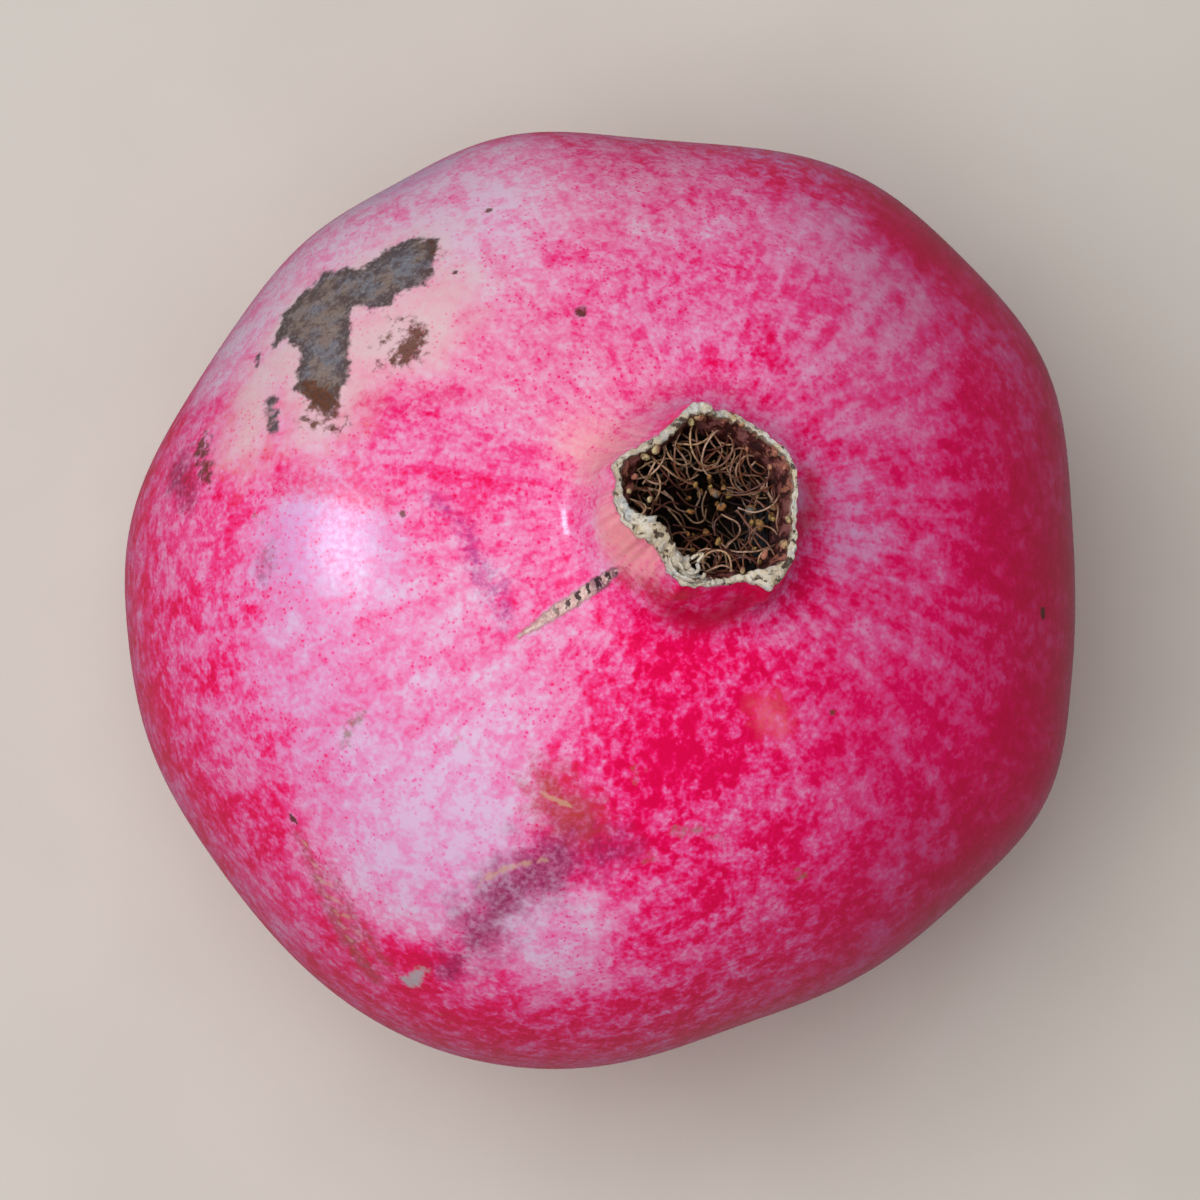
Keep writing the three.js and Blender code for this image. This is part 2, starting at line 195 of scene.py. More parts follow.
# The longest stamens, each from the wall to its tip: first and last depth below the rim, and
# where it shows in the near crop.
THREADS_SEEN = [
    (2.4, 3.4, [
        (775, 310), (830, 420), (900, 520), (985, 600), (1060, 650), (1150, 655), (1190, 690),
    ]),
    (1.2, 2.4, [(820, 230), (820, 300), (850, 370),]),
    (2.6, 5.2, [(560, 440), (650, 540), (670, 640), (710, 720), (765, 785),]),
    (3.0, 5.0, [(720, 430), (740, 560), (790, 630), (840, 690),]),
    (4.0, 3.4, [(765, 560), (800, 520), (850, 490),]),
    (2.6, 5.0, [(880, 350), (930, 340), (940, 420), (920, 540), (890, 610), (905, 700),]),
    (2.2, 3.4, [(950, 360), (1020, 400), (1060, 480), (1060, 540), (990, 550),]),
    (3.0, 4.0, [(1095, 590), (1130, 555), (1180, 580), (1190, 630),]),
    (4.5, 5.0, [(930, 640), (980, 670), (1030, 710),]),
    (2.6, 4.2, [
        (1190, 540), (1225, 640), (1190, 720), (1130, 780), (1050, 770), (960, 735), (890, 750),
    ]),
    (3.0, 3.6, [(1130, 690), (1200, 760), (1240, 830),]),
    (1.6, 2.8, [(440, 560), (400, 640), (360, 710),]),
    (3.6, 3.2, [(550, 560), (640, 650), (650, 700), (610, 715),]),
    (3.2, 3.6, [(380, 690), (450, 690), (520, 710),]),
    (2.2, 3.2, [(280, 760), (330, 735), (400, 760), (430, 830), (420, 870),]),
    (2.4, 3.0, [(300, 820), (350, 860), (420, 880),]),
    (3.0, 4.0, [(450, 890), (540, 830), (600, 840),]),
    (3.6, 4.4, [(390, 740), (480, 760), (560, 810),]),
    (3.6, 4.0, [(900, 930), (855, 980), (860, 1060),]),
    (3.2, 3.8, [(900, 920), (1000, 970), (1025, 1040), (960, 1110), (900, 1200),]),
    (3.0, 3.4, [(990, 890), (1060, 960), (1090, 1070), (1040, 1150), (960, 1240),]),
    (2.8, 1.2, [(1000, 890), (1100, 1010), (1200, 1110), (1260, 1190),]),
    (2.6, 3.4, [(740, 1170), (790, 1150), (860, 1170), (880, 1230), (850, 1260),]),
    (3.8, 3.0, [(600, 1030), (690, 1110), (770, 1170),]),
]

# The others that can be told apart: where they show in the wide crop, and how deep.
DEEP_THREADS_SEEN = [
    [(489, 370, 2.6), (505, 370, 1.9), (514, 358, 1.4)],
    [(190, 350, 4.2), (215, 378, 4.6), (245, 420, 5.0), (262, 470, 4.6),],
    [(150, 335, 3.4), (190, 345, 4.2), (225, 365, 4.8), (240, 395, 5.2),],
    [(205, 395, 5.0), (245, 400, 4.6), (290, 410, 4.8), (325, 440, 5.2),],
    [(235, 360, 5.6), (262, 388, 5.0), (290, 380, 4.8), (302, 350, 5.4),],
    [(300, 300, 5.0), (288, 340, 5.2), (300, 380, 5.6), (332, 396, 6.0),],
    [(238, 442, 4.4), (270, 424, 4.0), (306, 440, 4.0), (316, 470, 4.2), (288, 490, 4.6),],
    [(330, 350, 5.8), (318, 380, 5.4), (325, 415, 5.2), (352, 440, 5.6),],
    [(215, 300, 4.4), (240, 330, 4.8), (270, 345, 5.2), (305, 340, 5.6),],
    [(225, 470, 3.8), (262, 480, 4.0), (296, 462, 4.2), (312, 436, 4.8),],
    [(262, 270, 4.6), (280, 310, 4.8), (268, 350, 5.4), (280, 392, 6.0),],
    [(352, 300, 4.8), (340, 330, 5.2), (352, 362, 5.6), (382, 372, 5.6),],
    [(180, 300, 3.8), (205, 322, 4.4), (222, 352, 4.8), (262, 362, 5.2),],
]

# The scattered stamens: how far below the rim they may start and run
ROOT_DEPTHS = (1.9, 7.4)
HIGHEST_THREAD = 1.2
DEEPEST_THREAD = 8.7

# How the threads are made, and where below the rim their painted shade is darkest and where it ends
THREAD_SIDES = 5
THREAD_POINTS = 14
THREAD_WANDER = 0.35 * MM
DARK_DEPTH = 6.4
LIGHT_DEPTH = 2.2

# The seat: how far below the rim it ends, and its two faces from the hollow's wall
SEAT_DEPTH = 3.6
SEAT_OUTSIDE = 0.12
SEAT_INSIDE = 0.75
SEAT_COLUMNS = 120

# The anthers that show: where in the near crop, depth below the rim, width.
ANTHERS_SEEN = [
    (850, 770, 4.0, 1.1), (900, 870, 4.0, 1.0), (1100, 890, 3.6, 1.2), (1160, 990, 3.4, 1.1),
    (1257, 870, 2.6, 0.8), (690, 900, 5.0, 0.8), (790, 1040, 5.0, 0.8), (950, 780, 5.0, 1.0),
    (1242, 934, 3.0, 1.0),
]

# Anthers and nodules are a little smaller than their width in the lists, and shrivelled.
LUMP_SCALE = 0.82
LUMP_SHRIVEL = 0.5 * MM

# Crumpled curls of the folded lobe's end, along each in the near crop, and where they lie.
CURLS_SEEN = [
    [(555, 1190), (545, 1250), (575, 1310), (640, 1343), (710, 1362), (775, 1343), (785, 1310)],
    [(600, 1175), (600, 1230), (640, 1290), (700, 1320), (745, 1290), (735, 1250)],
    [(690, 1215), (745, 1180), (765, 1195), (735, 1240)],
]
CURL_DEPTH = -0.3

CURL_THICKNESS = 0.34
CURL_HEIGHT = 0.9
# A curl's section, in thicknesses across and heights above the rim
CURL_SECTION = [
    (-0.5, -0.6), (-0.5, 0.1), (-0.3, 0.42), (0.0, 0.5), (0.3, 0.42), (0.5, 0.1), (0.5, -0.6),
]

# Dry nodules on the rim and on the wall close below it: x, y, depth below the rim, width.
NODULES = [
    (-5.6, 3.6, 0.8, 0.9), (-6.5, 1.7, 1.1, 0.7), (-4.7, 4.1, 0.0, 1.0), (-1.3, 7.0, 0.6, 0.8),
    (-0.6, 7.4, 0.1, 1.0), (1.3, 7.6, 0.4, 1.0), (2.6, 7.5, 0.1, 1.1), (3.5, 6.9, 0.2, 0.8),
    (4.3, 4.9, 1.8, 0.5), (6.7, 4.4, 0.5, 0.9), (7.5, 3.9, 0.3, 0.7), (6.4, 3.2, 1.6, 0.6),
    (7.6, 3.0, 0.6, 0.6), (6.2, 1.4, 2.8, 0.5), (7.5, -4.3, 0.9, 1.3), (5.7, -5.2, 1.3, 0.9),
    (7.8, -2.0, 0.6, 0.7), (-5.0, -0.2, 2.0, 0.6), (3.4, -6.8, 0.6, 0.7), (-7.2, 0.2, 0.6, 0.6),
]


# Broad fields of the skin: right, up, radius, how red (0 pale to 1 deep), how warm (-1 violet to
# 1 peach). In some of them the violet is painted highlight, sheen and reflection, as said below.
FIELDS = [
    # Violet at the window's highlight: painted highlight tint.
    (-27, 6, 7, 0.16, -1.0),
    (-24, -1, 6, 0.2, -0.2),
    # Lower left: pale skin whose violet is partly painted sheen.
    (-31, -10, 10, 0.26, -0.5),
    (-17, -22, 9, 0.06, -0.45),
    (-6, -36, 7, 0.12, -0.4),
    (-38, -8, 8, 0.58, -0.4),
    (-36, -26, 8, 0.6, 0.1),
    (-20, -41, 7, 0.64, 0.2),
    (-10, -43, 8, 0.74, 0.1),
    (-22, 24, 8, 0.18, 0.5),
    (-32, 30, 8, 0.08, 0.1),
    (-15, 40, 9, 0.06, 0.1),
    (3, 41, 9, 0.38, 0.3),
    (4, 30, 8, 0.46, 0.2),
    (3, 22, 4, 0.3, 0.4),
    (-8, 25, 8, 0.3, 0.3),
    (-20, 17, 6, 0.6, 0.0),
    (-12, 10, 8, 0.42, 0.1),
    (-1, 15, 4, 0.2, 0.8),
    (-7, 9, 4, 0.42, -0.1),
    (2, 6, 3, 0.14, 0.9),
    (14, 30, 9, 0.5, -0.1),
    (22, 36, 7, 0.28, -0.3),
    (32, 38, 5, 0.95, 0.0),
    (28, 22, 9, 0.48, -0.3),
    (17, 17, 5, 0.7, 0.0),
    (27, 8, 7, 0.48, -0.7),
    (30, -4, 7, 0.55, -0.5),
    (40, 14, 9, 0.8, -0.1),
    (46, -4, 9, 0.95, 0.0),
    (42, -24, 9, 0.9, 0.0),
    (36, -8, 8, 0.74, -0.1),
    (22, -10, 8, 0.7, 0.0),
    (6, -13, 7, 0.78, 0.0),
    (15, -20, 8, 0.66, 0.0),
    (28, -30, 8, 0.68, -0.1),
    (10, -30, 8, 0.66, 0.0),
    (14, -44, 8, 0.78, 0.0),
    (0, -44, 6, 0.7, 0.1),
    (0, -22, 5, 0.6, 0.2),
    (-13, -8, 9, 0.22, -0.3),
    (-8, 2, 6, 0.4, -0.1),
    (-38, 14, 7, 0.5, -0.1),
    (-46, 0, 6, 0.56, -0.1),
    (-43, -16, 7, 0.62, -0.1),
    # Violet along the top edge, left and right: painted reflection of the sky.
    (-19, 43, 4, 0.1, -0.6),
    (22, 44, 6, 0.6, -0.7),
]

# Marks on the skin. Each kind is a set of chains of (right, up, half-width), with an outline of
# (right, up) for some, and how it looks: colour, how soft its edge is, how ragged it is, which grain
# ("fine", "middle" or "coarse") makes it ragged, and its strength.
MARKS = {
    "halo": {
        "colour": (226, 200, 202), "soft": 4.0, "ragged": 4.5, "grain": "coarse", "strength": 0.88,
        "chains": [
            [(-31.5, 25.5, 4.5), (-27, 31, 4.5), (-19, 35.5, 4.0)],
            [(-30.5, 29, 5), (-29.5, 24, 4.5), (-28.5, 19.5, 4.0)],
            [(-23, 27, 3.6), (-19, 27, 3.4), (-15.5, 32, 3.0)],
            [(-35, 22, 3.5), (-36, 17, 3.0)],
        ],
    },
    "flush": {
        "colour": (236, 34, 112), "soft": 0.9, "ragged": 1.6, "grain": "middle", "strength": 0.8,
        "chains": [
            [(-24.5, 20.6, 0.8), (-22, 20.2, 1.1), (-19.8, 19.4, 0.6)],
            [(-18, 20.8, 0.7), (-15, 21.2, 0.9)],
            [(-33, 12, 1.4), (-27, 11.4, 1.2), (-22, 10, 0.8)],
            [(4.4, 19.8, 0.6), (7.4, 21.5, 0.8), (10.8, 22.1, 1.0), (14.6, 21.2, 0.8)],
        ],
    },
    "scab": {
        "colour": (112, 106, 106), "soft": 0.3, "ragged": 1.1, "grain": "middle", "strength": 0.96,
        "outline": [
            (-19.6, 37.3), (-16.7, 37.1), (-17.2, 33.3), (-18.2, 32.3), (-21.3, 31.2), (-21.9, 30.0),
            (-23.1, 29.8), (-25.5, 30.4), (-25.7, 27.1), (-25.9, 22.5), (-26.9, 20.9), (-27.7, 18.8),
            (-29.0, 20.0), (-31.4, 21.5), (-30.8, 24.4), (-30.6, 25.9), (-32.5, 26.9), (-33.6, 25.9),
            (-32.5, 29.2), (-31.6, 30.4), (-29.4, 32.5), (-28.6, 33.7), (-25.9, 33.9), (-23.9, 34.4),
            (-21.9, 35.7), (-20.4, 36.7),
        ],
        "chains": [
            [(-33.8, 20.2, 0.7), (-33.5, 17.8, 0.6)],
            [(-35.0, 25.2, 0.3), (-35.3, 24.2, 0.3)],
        ],
    },
    "rust": {
        "colour": (104, 58, 34), "soft": 0.7, "ragged": 2.4, "grain": "fine", "strength": 0.9,
        "chains": [
            [(-20.6, 24.8, 0.9), (-19.6, 25.8, 1.4), (-18.9, 27.3, 0.9)],
            [(-22.4, 24.1, 0.1), (-21.0, 24.4, 0.3)],
            [(-22.8, 25.8, 0.0), (-22.0, 26.9, 0.0)],
            [(-21.2, 28.6, 0.0), (-19.6, 28.9, 0.0)],
            [(-30.4, 22.0, 0.4), (-28.9, 21.0, 1.3), (-27.6, 19.6, 0.9)],
            [(-31.0, 18.6, 0.0), (-27.0, 17.6, 0.1)],
            [(-26.2, 19.2, 0.1), (-26.0, 18.2, 0.1)],
            [(-17.6, 36.6, 0.3), (-16.6, 35.2, 0.2)],
            [(-41.0, 16.4, 0.6), (-40.8, 14.6, 0.8), (-40.4, 12.6, 0.6)],
        ],
    },
    "speck": {
        "colour": (86, 48, 32), "soft": 0.14, "ragged": 0.35, "grain": "fine", "strength": 0.92,
        "chains": [
            [(-2.7, 29.2, 0.35), (-2.0, 29.6, 0.6), (-1.3, 30.1, 0.35)],
            [(-31.7, -22.3, 0.4), (-31.4, -22.7, 0.5)],
            [(45.4, -1.0, 0.5), (45.6, -1.6, 0.6)],
            [(-15.2, 33.8, 0.4), (-15.0, 33.7, 0.4)],
        ],
    },
    "fleck": {
        "colour": (128, 112, 72), "soft": 0.5, "ragged": 1.5, "grain": "fine", "strength": 0.62,
        "chains": [
            [(7.6, -23.9, 0.2), (8.6, -23.8, 0.2)],
            [(9.6, -23.7, 0.3), (10.6, -23.8, 0.2)],
            [(11.8, -24.4, 0.3), (12.4, -24.6, 0.3)],
            [(20.3, -28.2, 0.3), (20.8, -28.4, 0.3)],
            [(4.9, -26.4, 0.2), (5.6, -26.6, 0.1)],
            [(-24.6, -11.4, 0.2), (-25.6, -13.4, 0.3), (-26.4, -15.0, 0.1)],
            [(-15.0, -14.2, 0.1), (-14.6, -15.0, 0.1)],
            [(3.6, -17.4, 0.2), (4.0, -18.2, 0.2)],
            [(-34.2, 5.2, 0.2), (-33.6, 4.4, 0.1)],
            [(-35.4, 8.6, 0.1), (-34.8, 8.0, 0.1)],
        ],
    },
    "graze": {
        "colour": (158, 84, 78), "soft": 1.3, "ragged": 2.4, "grain": "middle", "strength": 0.8,
        "chains": [
            [(-31.0, -24.0, 0.2), (-29.2, -28.0, 0.8), (-26.6, -33.6, 1.4), (-23.4, -38.6, 1.2)],
            [(-27.6, -28.0, 0.2), (-25.0, -33.0, 0.7), (-22.0, -37.4, 0.6)],
        ],
    },
    "bruise": {
        "colour": (142, 40, 88), "soft": 2.8, "ragged": 4.4, "grain": "coarse", "strength": 0.94,
        "chains": [
            [
                (-3.0, -24.4, 2.4), (-4.6, -26.4, 2.8), (-7.6, -28.8, 2.6), (-11.0, -31.0, 2.2),
                (-14.0, -33.0, 1.4),
            ],
            [(-1.4, -24.4, 2.0), (1.2, -26.0, 1.8)],
            [(-10.2, -31.0, 2.8), (-12.6, -35.0, 1.6), (-15.6, -38.2, 0.8)],
        ],
    },
    "burn": {
        "colour": (190, 62, 60), "soft": 2.2, "ragged": 3.2, "grain": "middle", "strength": 0.95,
        "chains": [
            [(-5.4, -18.6, 1.6), (-4.2, -20.8, 2.3), (-1.8, -22.6, 1.8)],
            [(2.6, 2.6, 0.5), (5.0, 1.2, 1.0), (8.6, 0.4, 0.9)],
        ],
    },
    # Deep red skin darkened as painted shadow below the crown and painted shade down the neck's right
    # flank.
    "shade": {
        "colour": (206, 8, 62), "soft": 1.8, "ragged": 2.0, "grain": "coarse", "strength": 0.9,
        "chains": [
            [(6.6, -0.6, 0.8), (8.8, -1.6, 1.4), (13.6, -1.2, 1.8), (17.2, 0.8, 1.6), (20.0, 4.4, 1.4)],
            [(20.0, 4.4, 1.4), (21.7, 8.6, 1.1), (21.6, 13.0, 0.5)],
        ],
    },
    "warm_spot": {
        "colour": (236, 116, 128), "soft": 1.6, "ragged": 2.0, "grain": "middle", "strength": 0.7,
        "chains": [
            [(17.0, -11.2, 1.3), (18.0, -12.6, 1.4)],
        ],
    },
    "bloom": {
        "colour": (128, 50, 82), "soft": 1.4, "ragged": 2.4, "grain": "middle", "strength": 0.8,
        "chains": [
            [(-43.4, 13.2, 2.0), (-42.2, 10.6, 1.4)],
            [(-34.0, 4.6, 0.6), (-34.6, 2.8, 0.5)],
        ],
    },
    "vein": {
        "colour": (150, 40, 132), "soft": 1.2, "ragged": 1.8, "grain": "fine", "strength": 0.85,
        "chains": [
            [
                (-17.3, 10.7, 0.1), (-13.8, 7.4, 0.2), (-12.9, 4.5, 0.5), (-12.3, 2.8, 0.6),
                (-11.4, 1.2, 0.4), (-10.4, -0.6, 0.2),
            ],
            [(-10.0, 1.6, 0.1), (-9.6, -0.6, 0.2), (-9.8, -2.6, 0.1)],
        ],
    },
    "scratch": {
        "colour": (214, 172, 144), "soft": 0.16, "ragged": 0.4, "grain": "fine", "strength": 0.6,
        "chains": [
            [
                (-12.6, -29.6, 0.1), (-11.6, -28.4, 0.26), (-8.8, -27.3, 0.28), (-6.4, -26.8, 0.28),
                (-4.1, -26.6, 0.12),
            ],
            [(-6.3, -18.6, 0.1), (-5.7, -20.0, 0.24), (-4.3, -20.7, 0.26), (-2.8, -21.2, 0.14)],
            [(-13.4, -27.6, 0.04), (-12.6, -29.4, 0.1)],
            [(-3.0, -33.8, 0.12), (-1.2, -33.9, 0.1)],
            [(-30.9, -23.6, 0.16), (-28.9, -28.4, 0.24), (-26.0, -34.4, 0.28), (-23.0, -39.2, 0.18)],
            [(-28.4, -27.4, 0.12), (-26.6, -31.4, 0.2), (-24.4, -35.2, 0.24)],
            [(-25.6, -31.6, 0.04), (-23.4, -36.4, 0.1), (-21.4, -39.4, 0.06)],
            [(-17.2, -42.0, 0.1), (-14.2, -44.0, 0.14)],
            [(-14.9, -13.0, 0.06), (-14.0, -15.8, 0.08)],
        ],
    },
    "scuff": {
        "colour": (180, 176, 184), "soft": 0.4, "ragged": 1.0, "grain": "fine", "strength": 0.9,
        "chains": [
            [(-20.8, -38.8, 0.2), (-19.4, -39.4, 0.7), (-18.6, -38.4, 0.6), (-17.9, -37.8, 0.3)],
            [(-19.5, -44.2, 0.3), (-19.3, -44.4, 0.2)],
        ],
    },
}

# The cork scar: its two ends and its half-width, and the bars across it.
CORK_TIP = (-8.6, -3.9)
CORK_ROOT = (2.0, 3.3)
CORK_HALF_WIDTH = 0.66
CORK_FIRST_BAR = 3.2
CORK_BAR_SPACING = 1.19

# How far outside a mark its depth is still kept, in millimetres
FARTHEST_OUTSIDE = 12

# Where the skin's grain calms down and the skin is darkened as painted shade (along +X), and where
# the corky ring round the stalk and the taut skin round the neck fade in (as distances from the axis,
# below 0 so that they rise inwards)
CALM_AND_SHADE_FROM_TO = (10, 30)
FOOT_FROM_TO = (-9, -3.5)
TAUT_FROM_TO = (-17, -11.5)

# How far apart the brown specks are that the whole skin has
RARE_SPACING = 13 * MM

# The skin's gloss, and how far its relief stands out
SKIN_GLOSS = {"IOR": 1.45, "Specular IOR Level": 0.25}
SKIN_RELIEF = 0.06 * MM


def colour(red, green, blue):
    """An everyday 0 to 255 colour as the linear one that shaders take."""
    parts = [channel / 255 for channel in (red, green, blue)]
    return tuple(c / 12.92 if c <= 0.04045 else ((c + 0.055) / 1.055) ** 2.4 for c in parts)


def colour_property(name, description, default):
    return FloatVectorProperty(
        name=name, description=description, default=colour(*default), subtype="COLOR", size=3,
        min=0, max=1,
    )


def length_property(name, description, default):
    return FloatProperty(name=name, description=description, default=default * MM, unit="LENGTH", min=0)


def power_property(name, description, default):
    return FloatProperty(name=name, description=description, default=default, unit="POWER", min=0)


class RindSettings(bpy.types.PropertyGroup):
    pale: colour_property("Pale skin", "Where the skin is hardly coloured", (230, 194, 222))
    pink: colour_property("Pink skin", "Lightly coloured skin", (240, 140, 190))
    rose: colour_property("Rose skin", "Well coloured skin", (243, 72, 146))
    crimson: colour_property("Crimson skin", "Fully coloured skin", (244, 8, 98))
    deep: colour_property("Deep skin", "The darkest red", (228, 0, 76))
    speckle: length_property("Speckle size", "Distance between the fine speckles", 0.52)
    blotch: length_property("Blotch size", "Width of the soft blotches", 5.0)
    roughness: FloatProperty(
        name="Roughness", description="How dull the skin is", default=0.24, min=0, max=1,
        subtype="FACTOR",
    )


class CrownSettings(bpy.types.PropertyGroup):
    raggedness: length_property("Raggedness", "How uneven the dry rim is", 0.12)
    paper: colour_property("Dry rim", "The bleached rim", (226, 218, 204))
    stain: colour_property("Rim stains", "Weathered spots on the rim", (144, 134, 118))
    wall: colour_property("Inner wall", "The wall inside the crown", (88, 36, 34))
    tan: colour_property("Inner spots", "Tan spots on the inner wall", (172, 108, 88))


class StamenSettings(bpy.types.PropertyGroup):
    thread_radius: length_property("Thread radius", "Half the thickness of a stamen", 0.1)
    scattered: IntProperty(
        name="Scattered stamens", description="How many stamens stand between the long ones",
        default=150, min=0,
    )
    seed: IntProperty(
        name="Seed", description="Another number scatters the stamens another way", default=11
    )
    light: colour_property("Light thread", "The lit sides of the stamens", (208, 170, 146))
    brown: colour_property("Brown thread", "The common colour of the stamens", (116, 68, 46))
    dark: colour_property("Dark thread", "The darkest stamens and their seat", (44, 25, 18))
    anther: colour_property("Anther", "The withered anthers", (166, 134, 74))


class StalkSettings(bpy.types.PropertyGroup):
    radius: length_property("Radius", "Radius of the stalk at its root", STALK_RADIUS)
    length: length_property("Length", "How long the clipped stub is", STALK_LENGTH)
    bark: colour_property("Bark", "The outside of the stalk", (118, 92, 66))
    wood: colour_property("Cut wood", "The clipped end", (190, 160, 120))


class StageSettings(bpy.types.PropertyGroup):
    floor: colour_property("Floor", "The plain floor", (214, 209, 201))
    window: power_property("Window", "Watts of the window that makes the highlights", 3.0)
    overhead: power_property("Overhead light", "Watts of the large soft light", 8.3)
    fill: FloatProperty(
        name="Fill light", description="Strength of the light from all round", default=0.16, min=0
    )


class PomegranateSettings(bpy.types.PropertyGroup):
    rind: PointerProperty(type=RindSettings)
    crown: PointerProperty(type=CrownSettings)
    stamens: PointerProperty(type=StamenSettings)
    stalk: PointerProperty(type=StalkSettings)
    stage: PointerProperty(type=StageSettings)


class Wire:
    """A node's output that can be reckoned with like a number."""

    def __init__(self, bench, socket):
        self.bench = bench
        self.socket = socket

    def reckon(self, operation, *values):
        return self.bench.add("ShaderNodeMath", {"operation": operation}, dict(enumerate(values)))

    def __add__(self, other):
        return self.reckon("ADD", self, other)

    def __radd__(self, other):
        return self.reckon("ADD", other, self)

    def __sub__(self, other):
        return self.reckon("SUBTRACT", self, other)

    def __rsub__(self, other):
        return self.reckon("SUBTRACT", other, self)

    def __mul__(self, other):
        return self.reckon("MULTIPLY", self, other)

    def __rmul__(self, other):
        return self.reckon("MULTIPLY", other, self)

    def __abs__(self):
        return self.reckon("ABSOLUTE", self)

    def cosine(self):
        return self.reckon("COSINE", self)

    def step(self, low, high, top=1.0):
        """0 below low, top above high, smooth between them."""
        settings = {"interpolation_type": "SMOOTHSTEP"}
        return self.bench.add("ShaderNodeMapRange", settings, {0: self, 1: low, 2: high, 4: top})


class Bench:
    """Adds nodes to one tree and wires them up."""

    def __init__(self, tree):
        self.tree = tree

    def add(self, kind, settings=None, sockets=None, out=0):
        node = self.tree.nodes.new(kind)
        for name, value in (settings or {}).items():
            if name == "stops":
                self.set_stops(node.color_ramp.elements, value)
            else:
                setattr(node, name, value)
        for key, value in (sockets or {}).items():
            if isinstance(value, Wire):
                self.tree.links.new(value.socket, node.inputs[key])
            else:
                node.inputs[key].default_value = value
        return Wire(self, node.outputs[out]) if node.outputs else None

    @staticmethod
    def set_stops(elements, stops):
        while len(elements) < len(stops):
            elements.new(0.5)
        for element, (position, tint) in zip(elements, stops):
            element.position = position
            element.color = (*tint, 1)


class Finish(Bench):
    """A material and the patterns that it is made of."""

    def __init__(self, name):
        self.material = bpy.data.materials.new(name)
        self.material.use_nodes = True
        super().__init__(self.material.node_tree)
        self.tree.nodes.clear()
        self.place = self.add("ShaderNodeTexCoord", out="Object")

    def attribute(self, name, out="Fac"):
        return self.add("ShaderNodeAttribute", {"attribute_name": name}, out=out)

    def moved(self, where, by):
        return self.add("ShaderNodeVectorMath", {"operation": "ADD"}, {0: where, 1: by})

    def noise(self, size, detail=2.0, roughness=0.5, where=None, shift=0.0):
        """Soft random values about 0.5, in lumps of a size in metres."""
        where = where or self.place
        if shift:
            where = self.moved(where, (shift, shift, -shift))
        sockets = {"Vector": where, "Scale": 1 / size, "Detail": detail, "Roughness": roughness}
        return self.add("ShaderNodeTexNoise", None, sockets)

    def cells(self, size, shift=0.0):
        """Distance, in sizes, from the nearest of scattered points about a size in metres apart."""
        where = self.moved(self.place, (shift, -shift, shift)) if shift else self.place
        sockets = {"Vector": where, "Scale": 1 / size}
        return self.add("ShaderNodeTexVoronoi", {"feature": "F1"}, sockets)

    def mix(self, amount, first, second, blend="MIX"):
        """The first colour going over to the second as the amount rises from 0 to 1."""
        full = [tint if isinstance(tint, Wire) else (*tint, 1) for tint in (first, second)]
        settings = {"data_type": "RGBA", "blend_type": blend}
        return self.add("ShaderNodeMix", settings, {0: amount, 6: full[0], 7: full[1]}, out=2)

    def ramp(self, amount, stops):
        return self.add("ShaderNodeValToRGB", {"stops": stops}, {0: amount})

    def surface(self, varying, fixed, height=None, relief=0.0):
        """Ends the material: sockets that vary, sockets that don't, and relief in metres."""
        sockets = dict(fixed, **varying)
        if height is not None:
            bump = {"Strength": 1.0, "Distance": relief, "Height": height}
            sockets["Normal"] = self.add("ShaderNodeBump", None, bump)
        shader = self.add("ShaderNodeBsdfPrincipled", None, sockets)
        self.add("ShaderNodeOutputMaterial", None, {0: shader})
        return self.material


def placement():
    """From the fruit's own frame in millimetres to Blender's metres."""
    towards = math.radians(LEAN_TOWARDS)
    turn = Matrix.Rotation(math.radians(LEAN), 4, Vector((-math.sin(towards), math.cos(towards), 0)))
    return Matrix.Scale(MM, 4) @ Matrix.Translation(CENTRE) @ turn


PLACE = np.array(placement())


def placed(points):
    """Points of the fruit's own frame, in Blender's metres."""
    return np.asarray(points, float) @ PLACE[:3, :3].T + PLACE[:3, 3]


def step(value, low, high):
    t = np.clip((np.asarray(value, float) - low) / (high - low), 0, 1)
    return t * t * (3 - 2 * t)


def sum_of(swellings, azimuth):
    """The sum of smooth swellings round the axis."""
    total = np.zeros_like(azimuth)
    for at, height, spread in swellings:
        turn = (azimuth - at + 180) % 360 - 180
        total += height * np.exp(-((turn / spread) ** 2))
    return total


def straight_outline(corners, azimuth):
    """The reach at each azimuth of an outline that runs straight from corner to corner."""
    at = np.array([corner[0] for corner in corners])
    reach = np.array([corner[1] for corner in corners])
    turned = (azimuth - at[0]) % 360 + at[0]
    following = np.searchsorted(at, turned, side="right")
    before, after = following - 1, following % len(at)
    passed = np.radians((turned - at[before]) % 360)
    whole = np.radians((at[after] - at[before]) % 360)
    sides = reach[before] * np.sin(passed) + reach[after] * np.sin(whole - passed)
    return reach[before] * reach[after] * np.sin(whole) / sides


def ripple(azimuth, seed, lowest, highest):
    """Random waves round the axis, about 1 high."""
    draw = random.Random(seed)
    total = np.zeros_like(azimuth)
    for waves in range(lowest, highest):
        total += np.cos(np.radians(azimuth * waves) + draw.uniform(0, 2 * math.pi)) * draw.uniform(0.3, 1)
    return total / math.sqrt(0.5 * (highest - lowest))


